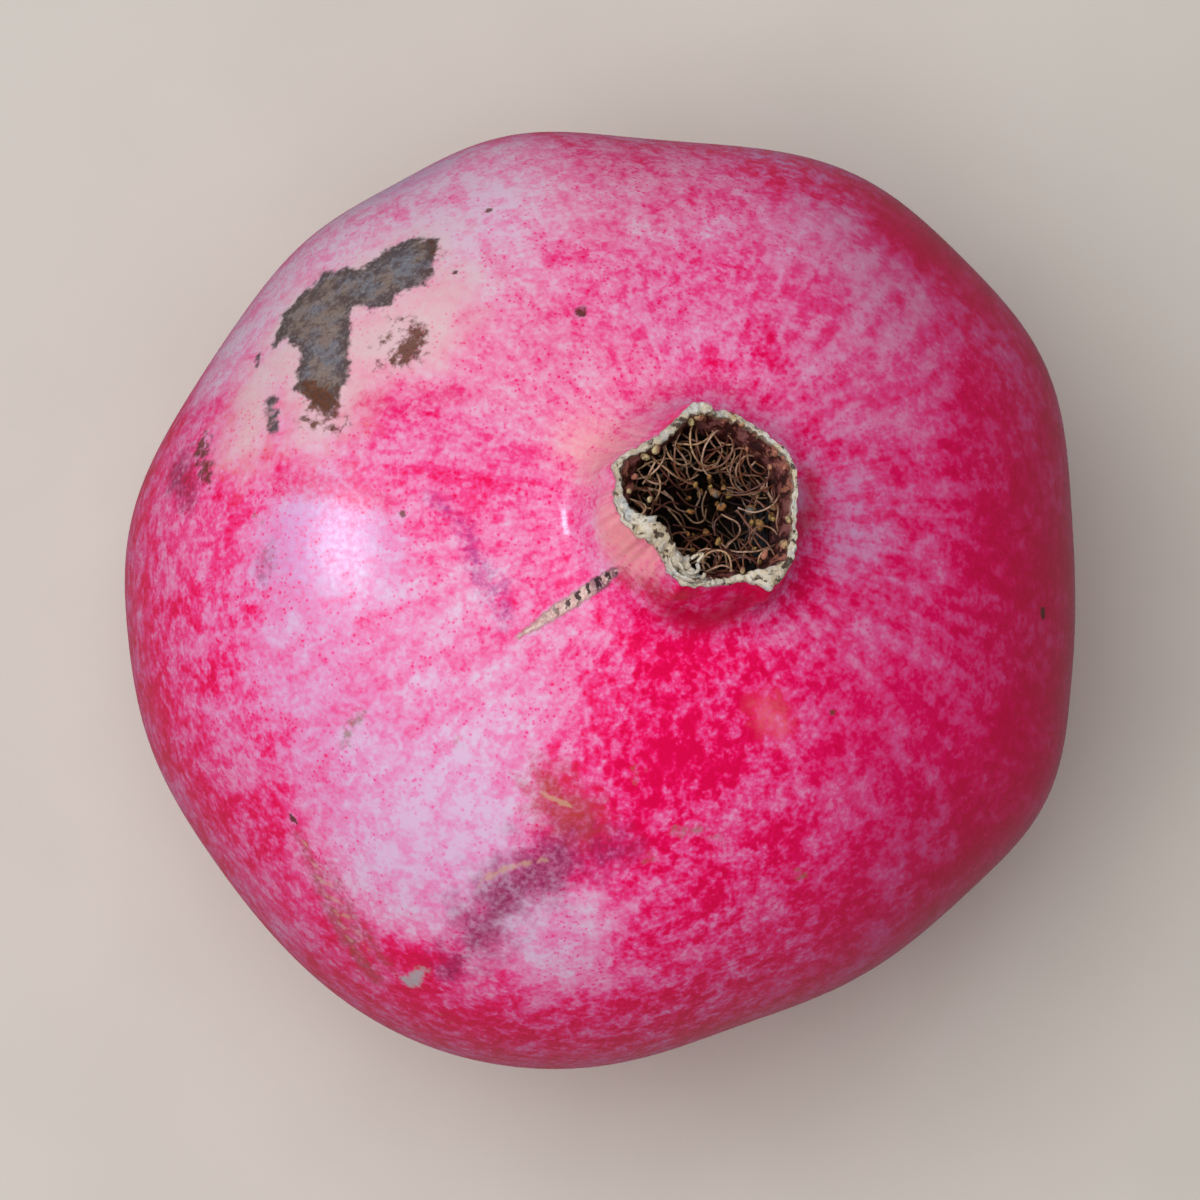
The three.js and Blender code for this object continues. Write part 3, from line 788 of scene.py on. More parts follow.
def smooth_profile(points, count):
    """Evenly spaced points along a smooth curve through the given ones."""
    known = [np.array(p, float) for p in points]
    known = [2 * known[0] - known[1], *known, 2 * known[-1] - known[-2]]
    fine = []
    steps = np.linspace(0, 1, 24, endpoint=False)[:, None]
    for before, start, end, after in zip(known, known[1:], known[2:], known[3:]):
        pairs = ((before, start), (start, end), (end, after))
        first, middle, last = (math.sqrt(np.linalg.norm(b - a)) for a, b in pairs)
        straight = (end - start) / middle
        leave = (start - before) / first - (end - before) / (first + middle) + straight
        arrive = straight - (after - start) / (middle + last) + (after - end) / last
        leave, arrive = leave * middle, arrive * middle
        square, cube = steps**2, steps**3
        fine.append(
            (2 * cube - 3 * square + 1) * start + (cube - 2 * square + steps) * leave
            + (3 * square - 2 * cube) * end + (cube - square) * arrive
        )
    fine = np.vstack([*fine, known[-2]])
    length = np.concatenate([[0], np.cumsum(np.linalg.norm(np.diff(fine, axis=0), axis=1))])
    wanted = np.linspace(0, length[-1], count)
    return np.column_stack([np.interp(wanted, length, fine[:, i]) for i in range(fine.shape[1])])


def body_profile():
    """Radius and level from the ring round the stalk up to the foot of the neck."""
    down, high, belly = UNDERSIDE_DEPTH, SHOULDER_HEIGHT, BELLY_RADIUS
    points = [
        (0, DIMPLE_LEVEL), (3.6, DIMPLE_LEVEL - 0.2), (7.5, -down), (12, -0.982 * down),
        (18, -0.938 * down), (0.58 * belly, -0.845 * down), (0.745 * belly, -0.7 * down),
        (0.885 * belly, -0.49 * down), (0.975 * belly, -0.24 * down), (belly, 0.02 * high),
        (0.978 * belly, 0.29 * high),
        (0.9 * belly, 0.54 * high), (0.77 * belly, 0.745 * high), (0.61 * belly, 0.885 * high),
        (20.5, 0.968 * high), (16, high),
    ]
    rows = smooth_profile(points, BODY_ROWS)
    return rows[rows[:, 0] > STALK_RADIUS + 2 * CLEARANCE]


def socket_profile():
    """Radius and level of the socket of the stalk, from its floor down to its mouth."""
    radius = STALK_RADIUS + CLEARANCE
    floor = DIMPLE_LEVEL - STALK_PROUD + STALK_LENGTH + CLEARANCE
    wall = [(radius, level) for level in np.linspace(floor - 0.3, DIMPLE_LEVEL + 0.1, 5)]
    bottom = [(0.8, floor), (0.6 * radius, floor), (radius - 0.15, floor)]
    return np.array([*bottom, *wall, (radius + 0.1, DIMPLE_LEVEL - 0.1)])


def hollow_profile(gap=0.0):
    """Radius and level of the hollow, from below the rim to its floor, or of a lining in it."""
    points = [
        (CROWN_RADIUS - 1.25 * RIM_WIDTH - gap, RIM_LEVEL - LIP_END_DEPTH),
        (CROWN_RADIUS - 1.8 * RIM_WIDTH - gap, RIM_LEVEL - 0.6 * HOLLOW_DEPTH),
        (HOLLOW_FLOOR_RADIUS + 0.9 - gap, FLOOR_LEVEL + 1 + 0.5 * gap),
        (HOLLOW_FLOOR_RADIUS - gap, FLOOR_LEVEL + 0.15 + gap),
        (0.5 * HOLLOW_FLOOR_RADIUS, FLOOR_LEVEL + gap),
        (0.25, FLOOR_LEVEL + gap),
    ]
    return smooth_profile(points, HOLLOW_ROWS)


def wall_reach(radius, level, azimuth):
    """How far out the hollow's wall is, with the crown's corners taken in."""
    corners = 0.9 * step(level, FLOOR_LEVEL, RIM_LEVEL - 2)
    leaning = step(level, FLOOR_LEVEL + 2, RIM_LEVEL - 3) * sum_of(WALL_LEANS, azimuth)
    return radius * (1 + corners * (straight_outline(RIM_OUTSIDE, azimuth) / CROWN_RADIUS - 1)) - leaning


def rind_rows(azimuth):
    """Reach, level, depth inside the crown and dryness of each row of the rind."""
    ragged = bpy.context.scene.pomegranate.crown.raggedness / MM
    outside = straight_outline(RIM_OUTSIDE, azimuth) + ragged * 0.5 * ripple(azimuth, 3, 18, 70)
    inside = straight_outline(RIM_INSIDE, azimuth) + ragged * 0.7 * ripple(azimuth, 5, 14, 80)
    inside = np.minimum(inside + 0.38, outside - 0.42)
    ribs, rises = sum_of(RIBS, azimuth), sum_of(RIM_RISES, azimuth)
    uneven = ragged * ripple(azimuth, 8, 9, 60)
    rows = []

    def add(reach, level, depth=0.0, dry=0.0):
        rows.append(np.broadcast_arrays(reach, level, depth, dry, azimuth)[:4])

    for radius, level in socket_profile():
        add(radius, level)
    for radius, level in body_profile():
        follows = step(radius, 6, 26) * (1 - 0.6 * step(level / SHOULDER_HEIGHT, 0.4, 1))
        add(radius + follows * ribs, level)
    for radius, above in smooth_profile(NECK, NECK_ROWS)[1:]:
        level = SHOULDER_HEIGHT + above
        corners = step(level, SHOULDER_HEIGHT, RIM_LEVEL - 1)
        risen = step(level, SHOULDER_HEIGHT + 3, RIM_LEVEL - 0.5)
        reach = radius * (1 + corners * (outside / CROWN_RADIUS - 1))
        add(reach, level + risen * rises + step(above, 8, 10.2) * uneven, dry=step(above, 9.5, 10.4))
    rim = RIM_LEVEL + rises + uneven
    crease = sum_of(CREASES, azimuth)
    for across, drop in RIM_SECTION:
        sunk = crease * math.exp(-(((across - 0.3) / 0.14) ** 2))
        add(outside + (inside - outside) * across, rim - drop - sunk, dry=1.0)
    wall = wall_reach(CROWN_RADIUS - 1.25 * RIM_WIDTH, RIM_LEVEL - LIP_END_DEPTH, azimuth)
    for depth, hang in LIP:
        level = rim - depth - (rises + uneven) * depth / LIP_END_DEPTH
        add(wall + (inside - wall) * hang, level, depth, dry=1 - step(depth, 0.3, 0.9))
    for radius, level in hollow_profile():
        add(wall_reach(radius, level, azimuth), level, RIM_LEVEL - level)
    return [np.array(part) for part in zip(*rows)]


def grid_faces(rows, columns, closed_start, closed_end):
    """Quads between rows of points round an axis, and fans where one more point closes an end."""
    row, column = np.meshgrid(np.arange(rows - 1), np.arange(columns), indexing="ij")
    here, following = row * columns + column, row * columns + (column + 1) % columns
    quads = np.stack([here, following, following + columns, here + columns], axis=-1)
    faces = quads.reshape(-1, 4).tolist()
    pole = rows * columns
    if closed_start:
        faces += [(pole, (i + 1) % columns, i) for i in range(columns)]
        pole += 1
    if closed_end:
        last = (rows - 1) * columns
        faces += [(pole, last + i, last + (i + 1) % columns) for i in range(columns)]
    return faces


def make_object(name, points, faces, material, values=None):
    """An object of points in metres, with a float at each point for every named value."""
    mesh = bpy.data.meshes.new(name)
    mesh.from_pydata(np.asarray(points).tolist(), [], faces)
    mesh.polygons.foreach_set("use_smooth", [True] * len(mesh.polygons))
    for label, amounts in (values or {}).items():
        layer = mesh.attributes.new(label, "FLOAT", "POINT")
        layer.data.foreach_set("value", np.asarray(amounts, np.float32))
    mesh.materials.append(material)
    mesh.update()
    piece = bpy.data.objects.new(name, mesh)
    bpy.context.scene.collection.objects.link(piece)
    return piece


def hand_over(piece, node):
    """Ties a finished piece to the body, and hides the imported part that it stands in for."""
    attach(piece, "root")
    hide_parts(node)


def camera_axes():
    """Towards the camera, and up in its view."""
    out, up = math.cos(math.radians(CAMERA_ELEVATION)), math.sin(math.radians(CAMERA_ELEVATION))
    return np.array([0, -out, up]), np.array([0, up, out])



def on_crown(column, row, depth, crop=NEAR_CROP, follows_rim=False):
    """The place in the fruit's own frame, so deep below the rim, that a crop shows there."""
    left, top, enlarged = crop
    back, upward = camera_axes()
    turn = PLACE[:3, :3] / MM
    middle = PHOTO_WIDTH / 2
    ray = upward * (middle - top - row / enlarged) - back * CAMERA_LENS / SENSOR_WIDTH * PHOTO_WIDTH
    ray = turn.T @ (ray + np.array([left + column / enlarged - middle, 0, 0]))
    eye = turn.T @ (np.array(CAMERA_TARGET) + CAMERA_DISTANCE * back - np.array(CENTRE))
    level = RIM_LEVEL - depth
    for _ in range(RIM_ROUNDS if follows_rim else 1):
        x, y = (eye + (level - eye[2]) / ray[2] * ray)[:2]
        level = RIM_LEVEL + float(sum_of(RIM_RISES, math.degrees(math.atan2(y, x)))) - depth
    return x, y


def rim_corners(seen):
    """The corners of an edge of the rim, in turn round the axis: azimuth and reach."""
    places = [on_crown(column, row, 0.0, follows_rim=True) for column, row in seen]
    turned = [(math.degrees(math.atan2(y, x)), math.hypot(x, y)) for x, y in places]
    return sorted((round(azimuth, 1), round(reach, 2)) for azimuth, reach in turned)


def rounded(column, row, depth, crop=NEAR_CROP):
    """The place on the crown to a tenth of a millimetre."""
    x, y = on_crown(column, row, depth, crop)
    return round(x, 1), round(y, 1)


def long_threads():
    """The stamens that can be told apart: x, y and depth below the rim along each."""
    paths = []
    for first, last, seen in THREADS_SEEN:
        depths = [first + (last - first) * index / (len(seen) - 1) for index in range(len(seen))]
        paths.append([(*rounded(*spot, depth), round(depth, 1)) for spot, depth in zip(seen, depths)])
    for seen in DEEP_THREADS_SEEN:
        paths.append([(*rounded(*spot, WIDE_CROP), spot[2]) for spot in seen])
    return paths


RIM_OUTSIDE = rim_corners(RIM_OUTSIDE_SEEN)
RIM_INSIDE = rim_corners(RIM_INSIDE_SEEN)
LONG_THREADS = long_threads()
ANTHERS = [(*rounded(*spot, depth), depth, width) for *spot, depth, width in ANTHERS_SEEN]
CURLS = [[rounded(*spot, CURL_DEPTH) for spot in seen] for seen in CURLS_SEEN]


class Skin:
    """The rind as a surface that places can be found on."""

    def __init__(self, points, faces):
        self.points = points / MM
        self.tree = BVHTree.FromPolygons(self.points.tolist(), faces)

    def spot(self, right, up):
        """The place in millimetres that the camera sees at (right, up)."""
        back, upward = camera_axes()
        target = np.array(CAMERA_TARGET)
        eye = target + CAMERA_DISTANCE * back
        aim = target + np.array([right, 0, 0]) + up * upward
        hit = self.tree.ray_cast(Vector(eye), Vector(aim - eye).normalized())[0]
        if hit is None:
            hit = self.tree.find_nearest(Vector(aim))[0]
        return np.array(hit)

    def inside(self, chain):
        """How deep each point is inside a chain of (right, up, half-width): below 0 is outside."""
        spots = [(self.spot(right, up), half_width) for right, up, half_width in chain]
        best = np.full(len(self.points), -1e3)
        for (start, first), (end, second) in zip(spots, spots[1:]):
            along = end - start
            t = np.clip((self.points - start) @ along / max(along @ along, 1e-6), 0, 1)
            away = np.linalg.norm(self.points - (start + t[:, None] * along), axis=1)
            best = np.maximum(best, first + t * (second - first) - away)
        return best

    def inside_outline(self, outline):
        """How deep each point that faces the camera is inside an outline of (right, up)."""
        back, upward = camera_axes()
        from_target = self.points - np.array(CAMERA_TARGET)
        nearer = CAMERA_DISTANCE / (CAMERA_DISTANCE - from_target @ back)
        seen = np.column_stack([from_target[:, 0], from_target @ upward]) * nearer[:, None]
        crossings = np.zeros(len(seen), bool)
        nearest = np.full(len(seen), 1e3)
        for start, end in zip(np.array(outline), np.roll(outline, -1, axis=0)):
            along = end - start
            t = np.clip((seen - start) @ along / (along @ along), 0, 1)
            nearest = np.minimum(nearest, np.linalg.norm(seen - (start + t[:, None] * along), axis=1))
            spans = (start[1] > seen[:, 1]) != (end[1] > seen[:, 1])
            rise = along[1] if along[1] else 1e-9
            crossings ^= spans & (seen[:, 0] < start[0] + (seen[:, 1] - start[1]) * along[0] / rise)
        depth = np.where(crossings, nearest, -nearest)
        return np.where(from_target @ back > 0, depth, -1e3)

    def fields(self):
        """How red and how warm the skin is, spread smoothly from the listed fields."""
        weight = np.full(len(self.points), 0.02)
        red, warm = weight * 0.72, weight * 0.0
        for right, up, radius, redness, warmth in FIELDS:
            away = np.linalg.norm(self.points - self.spot(right, up), axis=1) / radius
            near = np.exp(-(away**2))
            weight += near
            red += near * redness
            warm += near * warmth
        return red / weight, warm / weight

    def cork(self):
        """Distances along and across the cork scar."""
        tip, root = self.spot(*CORK_TIP), self.spot(*CORK_ROOT)
        along = (root - tip) / np.linalg.norm(root - tip)
        out = tip / np.linalg.norm(tip)
        side = np.cross(along, out)
        from_tip = self.points - tip
        near = np.linalg.norm(from_tip - np.outer(from_tip @ along, along), axis=1)
        across = from_tip @ side / np.linalg.norm(side)
        return from_tip @ along, np.where(near < 6, across, 99.0), float(np.linalg.norm(root - tip))


def papery(finish, crown):
    """The colour and the relief of dry, bleached calyx, with its stains and brown spots."""
    fibre = finish.noise(0.4 * MM, detail=4, roughness=0.7)
    weather = finish.noise(1.5 * MM, detail=3, roughness=0.6, shift=0.3)
    spots = finish.noise(0.6 * MM, detail=2, roughness=0.5, shift=0.7)
    tint = finish.mix(weather.step(0.44, 0.62), crown.paper, colour(216, 198, 168))
    tint = finish.mix((1 - weather).step(0.52, 0.66) * 0.8, tint, colour(196, 201, 206))
    shabby = finish.noise(3.4 * MM, detail=1, shift=0.9).step(0.46, 0.6)
    tint = finish.mix(shabby * fibre.step(0.4, 0.6) * 0.7, tint, colour(150, 132, 104))
    tint = finish.mix(spots.step(0.56, 0.68) * 0.7, tint, crown.stain)
    tint = finish.mix((spots * weather * 2).step(0.6, 0.72), tint, colour(84, 68, 60))
    tint = finish.mix(fibre.step(0.5, 0.7) * 0.5, tint, colour(246, 242, 234))
    return finish.mix((1 - fibre).step(0.55, 0.66) * 0.6, tint, colour(116, 92, 70)), fibre


def rind_material(name, cork_length, crowned):
    """Skin with its marks, and on the crown also the dry rim and the inner wall under it."""
    settings, crown = bpy.context.scene.pomegranate.rind, bpy.context.scene.pomegranate.crown
    finish = Finish(name)
    mottle = finish.noise(settings.speckle, detail=3, roughness=0.6).step(0.3, 0.7)
    blotch = finish.noise(settings.blotch, detail=3, roughness=0.5)
    patches = finish.noise(2.2 * settings.blotch, detail=2, roughness=0.5, shift=0.5)
    presence = finish.noise(0.8 * settings.blotch, detail=1, shift=0.8).step(0.3, 0.6)
    dots = (1 - finish.cells(1.15 * settings.speckle).step(0.1, 0.34)) * presence
    flecks = 1 - finish.cells(1.2 * settings.speckle, shift=0.4).step(0.05, 0.45)
    flecks = flecks * (1 - presence * 0.5)
    clusters = finish.noise(3.0 * settings.speckle, detail=2, roughness=0.6, shift=0.25).step(0.34, 0.66)
    flow = finish.attribute("flow", out="Vector")
    streak = finish.noise(1.0, detail=3, roughness=0.55, where=flow).step(0.34, 0.66)
    red, warm = finish.attribute("red"), finish.attribute("warm")
    calm = finish.attribute("calm")

    clouds = (blotch - 0.5) * 0.66 + (patches - 0.5) * 0.42
    amount = red + clouds * (0.66 + red * 0.5) * (1 - calm * 0.3) + (streak - 0.5) * 0.18
    full = amount.step(0.3, 0.8)
    close = (mottle - 0.5) * (0.22 + full * 0.12) + (clusters - 0.5) * (0.2 + full * 0.26)
    close = close + dots * (1 - full) * 0.32 - flecks * full * 0.2
    amount = amount + close * (1 - calm * 0.5) + full * 0.05
    stops = [
        (0.0, settings.pale), (0.28, settings.pink), (0.56, settings.rose), (0.8, settings.crimson),
        (1.0, settings.deep),
    ]
    tint = finish.ramp(amount, stops)
    pale = 1 - amount.step(0.15, 0.75)
    tint = finish.mix(warm.step(0.05, 0.9) * pale * 0.85, tint, colour(250, 162, 160))
    # Violet: partly the pale skin's own, partly painted highlight, sheen and reflection where the fields
    # put it.
    tint = finish.mix((warm * -1).step(0.1, 0.9) * pale * 0.6, tint, colour(206, 152, 214))
    # Darker red and blue towards +X: painted shade on the fruit's right flank.
    tint = finish.mix(calm, tint, (0.8, 1.0, 0.88), "MULTIPLY")
    fine = finish.noise(0.35 * MM, detail=2, roughness=0.6, shift=0.9)
    grains = {
        "fine": finish.noise(0.8 * MM, detail=2.5, roughness=0.65, shift=0.15),
        "middle": finish.noise(1.4 * MM, detail=3, roughness=0.65, shift=0.35),
        "coarse": finish.noise(3.0 * MM, detail=3, roughness=0.65, shift=0.65),
    }
    uneven = {name: grain - 0.5 for name, grain in grains.items()}
    half_mottled, mottled = 0.62 + mottle * 0.38, 0.4 + mottle * 0.6
    for kind, look in MARKS.items():
        depth = finish.attribute("mark_" + kind) + uneven[look["grain"]] * (2 * look["ragged"])
        cover = depth.step(-look["soft"], look["soft"], look["strength"])
        layer = colour(*look["colour"])
        if kind == "scab":
            # The cold bluish grey is partly the scab's own, partly painted sheen, spread by the coarse
            # grain.
            cold, warm_grey = colour(112, 114, 124), colour(130, 112, 102)
            layer = finish.mix(grains["coarse"].step(0.38, 0.6), cold, warm_grey)
            rotten = (grains["middle"] + 0.1 - depth * 0.09).step(0.42, 0.6)
            layer = finish.mix(rotten * 0.8, layer, colour(60, 48, 50))
            layer = finish.mix(fine.step(0.5, 0.72) * 0.5, layer, colour(156, 150, 150))
            layer = finish.mix((1 - grains["fine"]).step(0.5, 0.64) * 0.6, layer, colour(74, 54, 48))
        elif kind == "rust":
            layer = finish.mix(fine.step(0.45, 0.65) * 0.7, layer, colour(64, 36, 28))
        elif kind == "halo":
            cover = cover * (1 - dots * 0.6) * (0.7 + mottle * 0.3)
        elif kind in ("bruise", "burn"):
            cover = cover * half_mottled
        elif kind in ("bloom", "vein", "graze", "flush", "warm_spot"):
            cover = cover * mottled
        tint = finish.mix(cover, tint, layer)

    rare = finish.cells(RARE_SPACING, shift=0.31) + uneven["fine"] * 0.06
    tint = finish.mix((1 - rare.step(0.018, 0.04)) * 0.85, tint, colour(104, 60, 40))

    foot = (finish.attribute("foot") + uneven["fine"] * 0.9).step(0.35, 0.7, 0.8)
    corky = finish.mix(fine.step(0.4, 0.6), colour(168, 122, 84), colour(112, 72, 50))
    tint = finish.mix(foot, tint, corky)

    along, across = finish.attribute("cork_along"), finish.attribute("cork_across")
    wander = uneven["fine"]
    taper = 0.35 + along.step(0.0, 5.0) * 0.65 - along.step(9.2, 12.8) * 0.75
    width = CORK_HALF_WIDTH * taper + wander * 0.7
    ends = along.step(-0.3, 0.4) * (1 - along.step(cork_length - 0.8, cork_length + 0.3))
    cork = (width - abs(across)).step(-0.15, 0.15) * ends
    turn = 2 * math.pi / CORK_BAR_SPACING
    slant = across * 0.35
    bars = ((along + slant + wander * 1.3 - CORK_FIRST_BAR) * turn).cosine().step(0.1, 0.7)
    reach = (width * 0.85 + uneven["middle"] * 1.6 - abs(across + 0.1)).step(-0.1, 0.15)
    bars = bars * along.step(1.5, 6.5) * reach
    smudge = along.step(7.6, 9.0) * (1 - along.step(11.6, 12.6))
    smudge = smudge * grains["fine"].step(0.42, 0.54) * 0.8
    bark = finish.mix(fine.step(0.4, 0.65), colour(204, 170, 160), colour(232, 214, 200))
    bark = finish.mix((1 - (width - abs(across)).step(0.0, 0.3)) * 0.7, bark, colour(128, 84, 88))
    tint = finish.mix(cork * 0.9, tint, finish.mix(smudge, bark, colour(96, 58, 80)))
    tint = finish.mix(bars * cork * 0.94, tint, colour(48, 28, 34))

    scabby = finish.attribute("mark_scab").step(-0.4, 0.6)
    raised = (CORK_HALF_WIDTH - abs(across)).step(-0.2, 0.3) * ends
    rough = (blotch - 0.5) * 0.12 + settings.roughness + mottle * 0.06 - finish.attribute("taut") * 0.1
    rough = rough + scabby * 0.3 + raised * 0.3
    pores = finish.noise(1.4 * settings.speckle, detail=0, shift=0.55)
    height = pores * 0.25 + finish.noise(settings.blotch, detail=0) * 0.5
    height = height + scabby * fine * 1.2 + raised * 0.7
    if not crowned:
        return finish.surface({"Base Color": tint, "Roughness": rough}, SKIN_GLOSS, height, SKIN_RELIEF)

    depth, dry = finish.attribute("depth"), finish.attribute("dry")
    paper, fibre = papery(finish, crown)
    patchy, edge = grains["middle"], wander
    wall = finish.mix(patchy.step(0.42, 0.6), crown.wall, colour(52, 20, 18))
    wall = finish.mix((1 - patchy).step(0.48, 0.62) * 0.7, wall, colour(140, 88, 86))
    # Deeper down, the tan spots fade out and the wall goes nearly black: painted shade in the hollow.
    lit = 1 - depth.step(0.8, 3.2)
    wall = finish.mix(grains["fine"].step(0.52, 0.64) * lit * 0.8, wall, crown.tan)
    wall = finish.mix(depth.step(1.8, 5.0), wall, colour(24, 13, 10))
    inner = (depth + edge * 0.9).step(0.35, 0.75)
    papered = (dry + depth.step(0.0, 0.3) + edge * 0.9).step(0.42, 0.72)
    lip = (depth + edge * 0.8).step(0.02, 0.3)
    browned = finish.mix(fine.step(0.4, 0.6), colour(150, 108, 72), colour(92, 58, 42))
    paper = finish.mix(lip * 0.75, paper, browned)
    tint = finish.mix(papered, tint, paper)
    tint = finish.mix(inner, tint, wall)

    rough = rough + papered * 0.4 + inner * 0.2
    height = height + papered * fibre * 4.0 + inner * patchy * 4.0
    return finish.surface({"Base Color": tint, "Roughness": rough}, SKIN_GLOSS, height, SKIN_RELIEF)


def dry_calyx_material():
    crown = bpy.context.scene.pomegranate.crown
    finish = Finish("Dry calyx")
    paper, fibre = papery(finish, crown)
    return finish.surface({"Base Color": paper}, {"Roughness": 0.85}, fibre, 0.15 * MM)


class OBJECT_OT_pomegranate_rind(bpy.types.Operator):
    """Build the rind, with the crown that grows from it and the crumpled end of its folded lobe"""

    bl_idname = "object.pomegranate_rind"
    bl_label = "Rind and Calyx"

    def execute(self, context):
        azimuth = np.arange(RIND_COLUMNS) * 360.0 / RIND_COLUMNS - 180
        reach, level, depth, dry = rind_rows(azimuth)
        rows = len(reach)
        turned = np.radians(azimuth)
        local = np.stack([reach * np.cos(turned), reach * np.sin(turned), level], axis=-1).reshape(-1, 3)
        poles = [(0, 0, level[0, 0]), (0, 0, level[-1, 0])]
        local = self.crumple(np.vstack([local, poles]), np.append(dry.ravel(), [0, 0]))
        points = placed(local)
        points[:, 2] = np.maximum(points[:, 2], 0)
        faces = grid_faces(rows, RIND_COLUMNS, True, True)
        skin = Skin(points, faces)
        red, warm = skin.fields()
        along, across, cork_length = skin.cork()
        from_axis = np.hypot(local[:, 0], local[:, 1])
        values = {
            "red": red,
            "warm": warm,
            "depth": np.append(depth.ravel(), [0, HOLLOW_DEPTH]),
            "dry": np.append(dry.ravel(), [0, 0]),
            "calm": step(points[:, 0] / MM, *CALM_AND_SHADE_FROM_TO),
            "foot": step(-from_axis, *FOOT_FROM_TO) * (local[:, 2] < 0),
            "taut": step(-from_axis, *TAUT_FROM_TO) * (local[:, 2] > 0),
            "cork_along": along,
            "cork_across": across,
        }
        for kind, look in MARKS.items():
            inside = np.max([skin.inside(chain) for chain in look["chains"]], axis=0)
            if "outline" in look:
                inside = np.maximum(inside, skin.inside_outline(look["outline"]))
            values["mark_" + kind] = np.maximum(inside, -FARTHEST_OUTSIDE)
        skin_material = rind_material("Pomegranate skin", cork_length, crowned=False)
        piece = make_object("rind", points, faces, skin_material, values)
        piece.data.materials.append(rind_material("Calyx and hollow", cork_length, crowned=True))
        dried = (dry.max(axis=1) > 0) | (depth.max(axis=1) > 0)
        on_crown = np.repeat(dried[:-1] | dried[1:], RIND_COLUMNS).tolist()
        on_crown += [False] * RIND_COLUMNS + [True] * RIND_COLUMNS
        piece.data.polygons.foreach_set("material_index", on_crown)
        steps = np.hypot(np.diff(reach, axis=0), np.diff(level, axis=0)).mean(axis=1)
        run = np.repeat(np.concatenate([[0], np.cumsum(steps)]), RIND_COLUMNS)
        around = np.arctan2(local[:, 1], local[:, 0])
        down = 0.12 * np.append(run, [0, run[-1]])
        flow = np.column_stack([14 * np.cos(around), 14 * np.sin(around), down])
        layer = piece.data.attributes.new("flow", "FLOAT_VECTOR", "POINT")
        layer.data.foreach_set("vector", flow.astype(np.float32).ravel())
        hand_over(piece, "fruit")
        hand_over(self.curls(), "fruit")
        return {"FINISHED"}

    @staticmethod
    def crumple(local, dry):
        """Makes the dry rim uneven, most of all at the end of the folded lobe."""
        noise.seed_set(CRUMPLE_SEED)
        crumpled = local.copy()
        for index in np.nonzero(dry > 0.02)[0]:
            x, y, z = local[index]
            worn = math.exp(-(((math.degrees(math.atan2(y, x)) - WORN_AT) / WORN_SPREAD) ** 2))
            broad = np.array(noise.noise_vector(Vector((x, y, z)) / BROAD_CRUMPLE))
            close = np.array(noise.noise_vector(Vector((x, y, z)) / CLOSE_CRUMPLE))
            moved = broad * (0.14 + 0.36 * worn) + close * (0.06 + 0.18 * worn)
            crumpled[index] += dry[index] * moved
        return crumpled

    @staticmethod
    def curls():
        """The crumpled end of the folded lobe: thin curled strips that stand on the rim."""
        points, faces = [], []
        for number, path in enumerate(CURLS):
            middle = smooth_profile(path, 34)
            run = np.gradient(middle, axis=0)
            side = np.column_stack([-run[:, 1], run[:, 0]]) / np.linalg.norm(run, axis=1)[:, None]
            start, around = len(points), len(CURL_SECTION)
            for index, (spot, out) in enumerate(zip(middle, side)):
                ragged = noise.noise(Vector((*spot, 7.0 * number)) / 0.35)
                end = math.sin(math.pi * (index + 0.5) / len(middle)) ** 0.3
                for across, above in CURL_SECTION:
                    sideways = across * CURL_THICKNESS * (1 + 0.4 * ragged) + above * 0.25 * ragged
                    height = above * CURL_HEIGHT * end * (1 + 0.5 * ragged)
                    points.append((*(spot + out * sideways), RIM_LEVEL + 0.1 + height))
            for index in range(len(middle) - 1):
                first = start + index * around
                ring = [(first + i, first + (i + 1) % around) for i in range(around)]
                faces += [(here, ahead, ahead + around, here + around) for here, ahead in ring]
            faces.append(tuple(start + i for i in reversed(range(around))))
            faces.append(tuple(len(points) - around + i for i in range(around)))
        return make_object("calyx_curls", placed(points), faces, dry_calyx_material())


class Shaper(Bench):
    """A geometry tree with named inputs, which ends in one plain mesh with its material."""

    def __init__(self, name, inputs):
        super().__init__(bpy.data.node_groups.new(name, "GeometryNodeTree"))
        face = self.tree.interface
        face.new_socket("Geometry", in_out="INPUT", socket_type="NodeSocketGeometry")
        for label, kind, default in inputs:
            face.new_socket(label, in_out="INPUT", socket_type=kind).default_value = default
        face.new_socket("Material", in_out="INPUT", socket_type="NodeSocketMaterial")
        face.new_socket("Geometry", in_out="OUTPUT", socket_type="NodeSocketGeometry")

    def given(self, name):
        return self.add("NodeGroupInput", out=name)

    def shaken(self, geometry, pattern, amount):
        """The geometry with its points moved by a noise pattern."""
        centred = {0: pattern, 1: (0.5, 0.5, 0.5)}
        centred = self.add("ShaderNodeVectorMath", {"operation": "SUBTRACT"}, centred)
        shift = {0: centred, "Scale": amount}
        shift = self.add("ShaderNodeVectorMath", {"operation": "SCALE"}, shift)
        return self.add("GeometryNodeSetPosition", None, {"Geometry": geometry, "Offset": shift})

    def end(self, geometry):
        worn = {"Geometry": geometry, "Material": self.given("Material")}
        self.add("NodeGroupOutput", None, {0: self.add("GeometryNodeSetMaterial", None, worn)})
        return self.tree


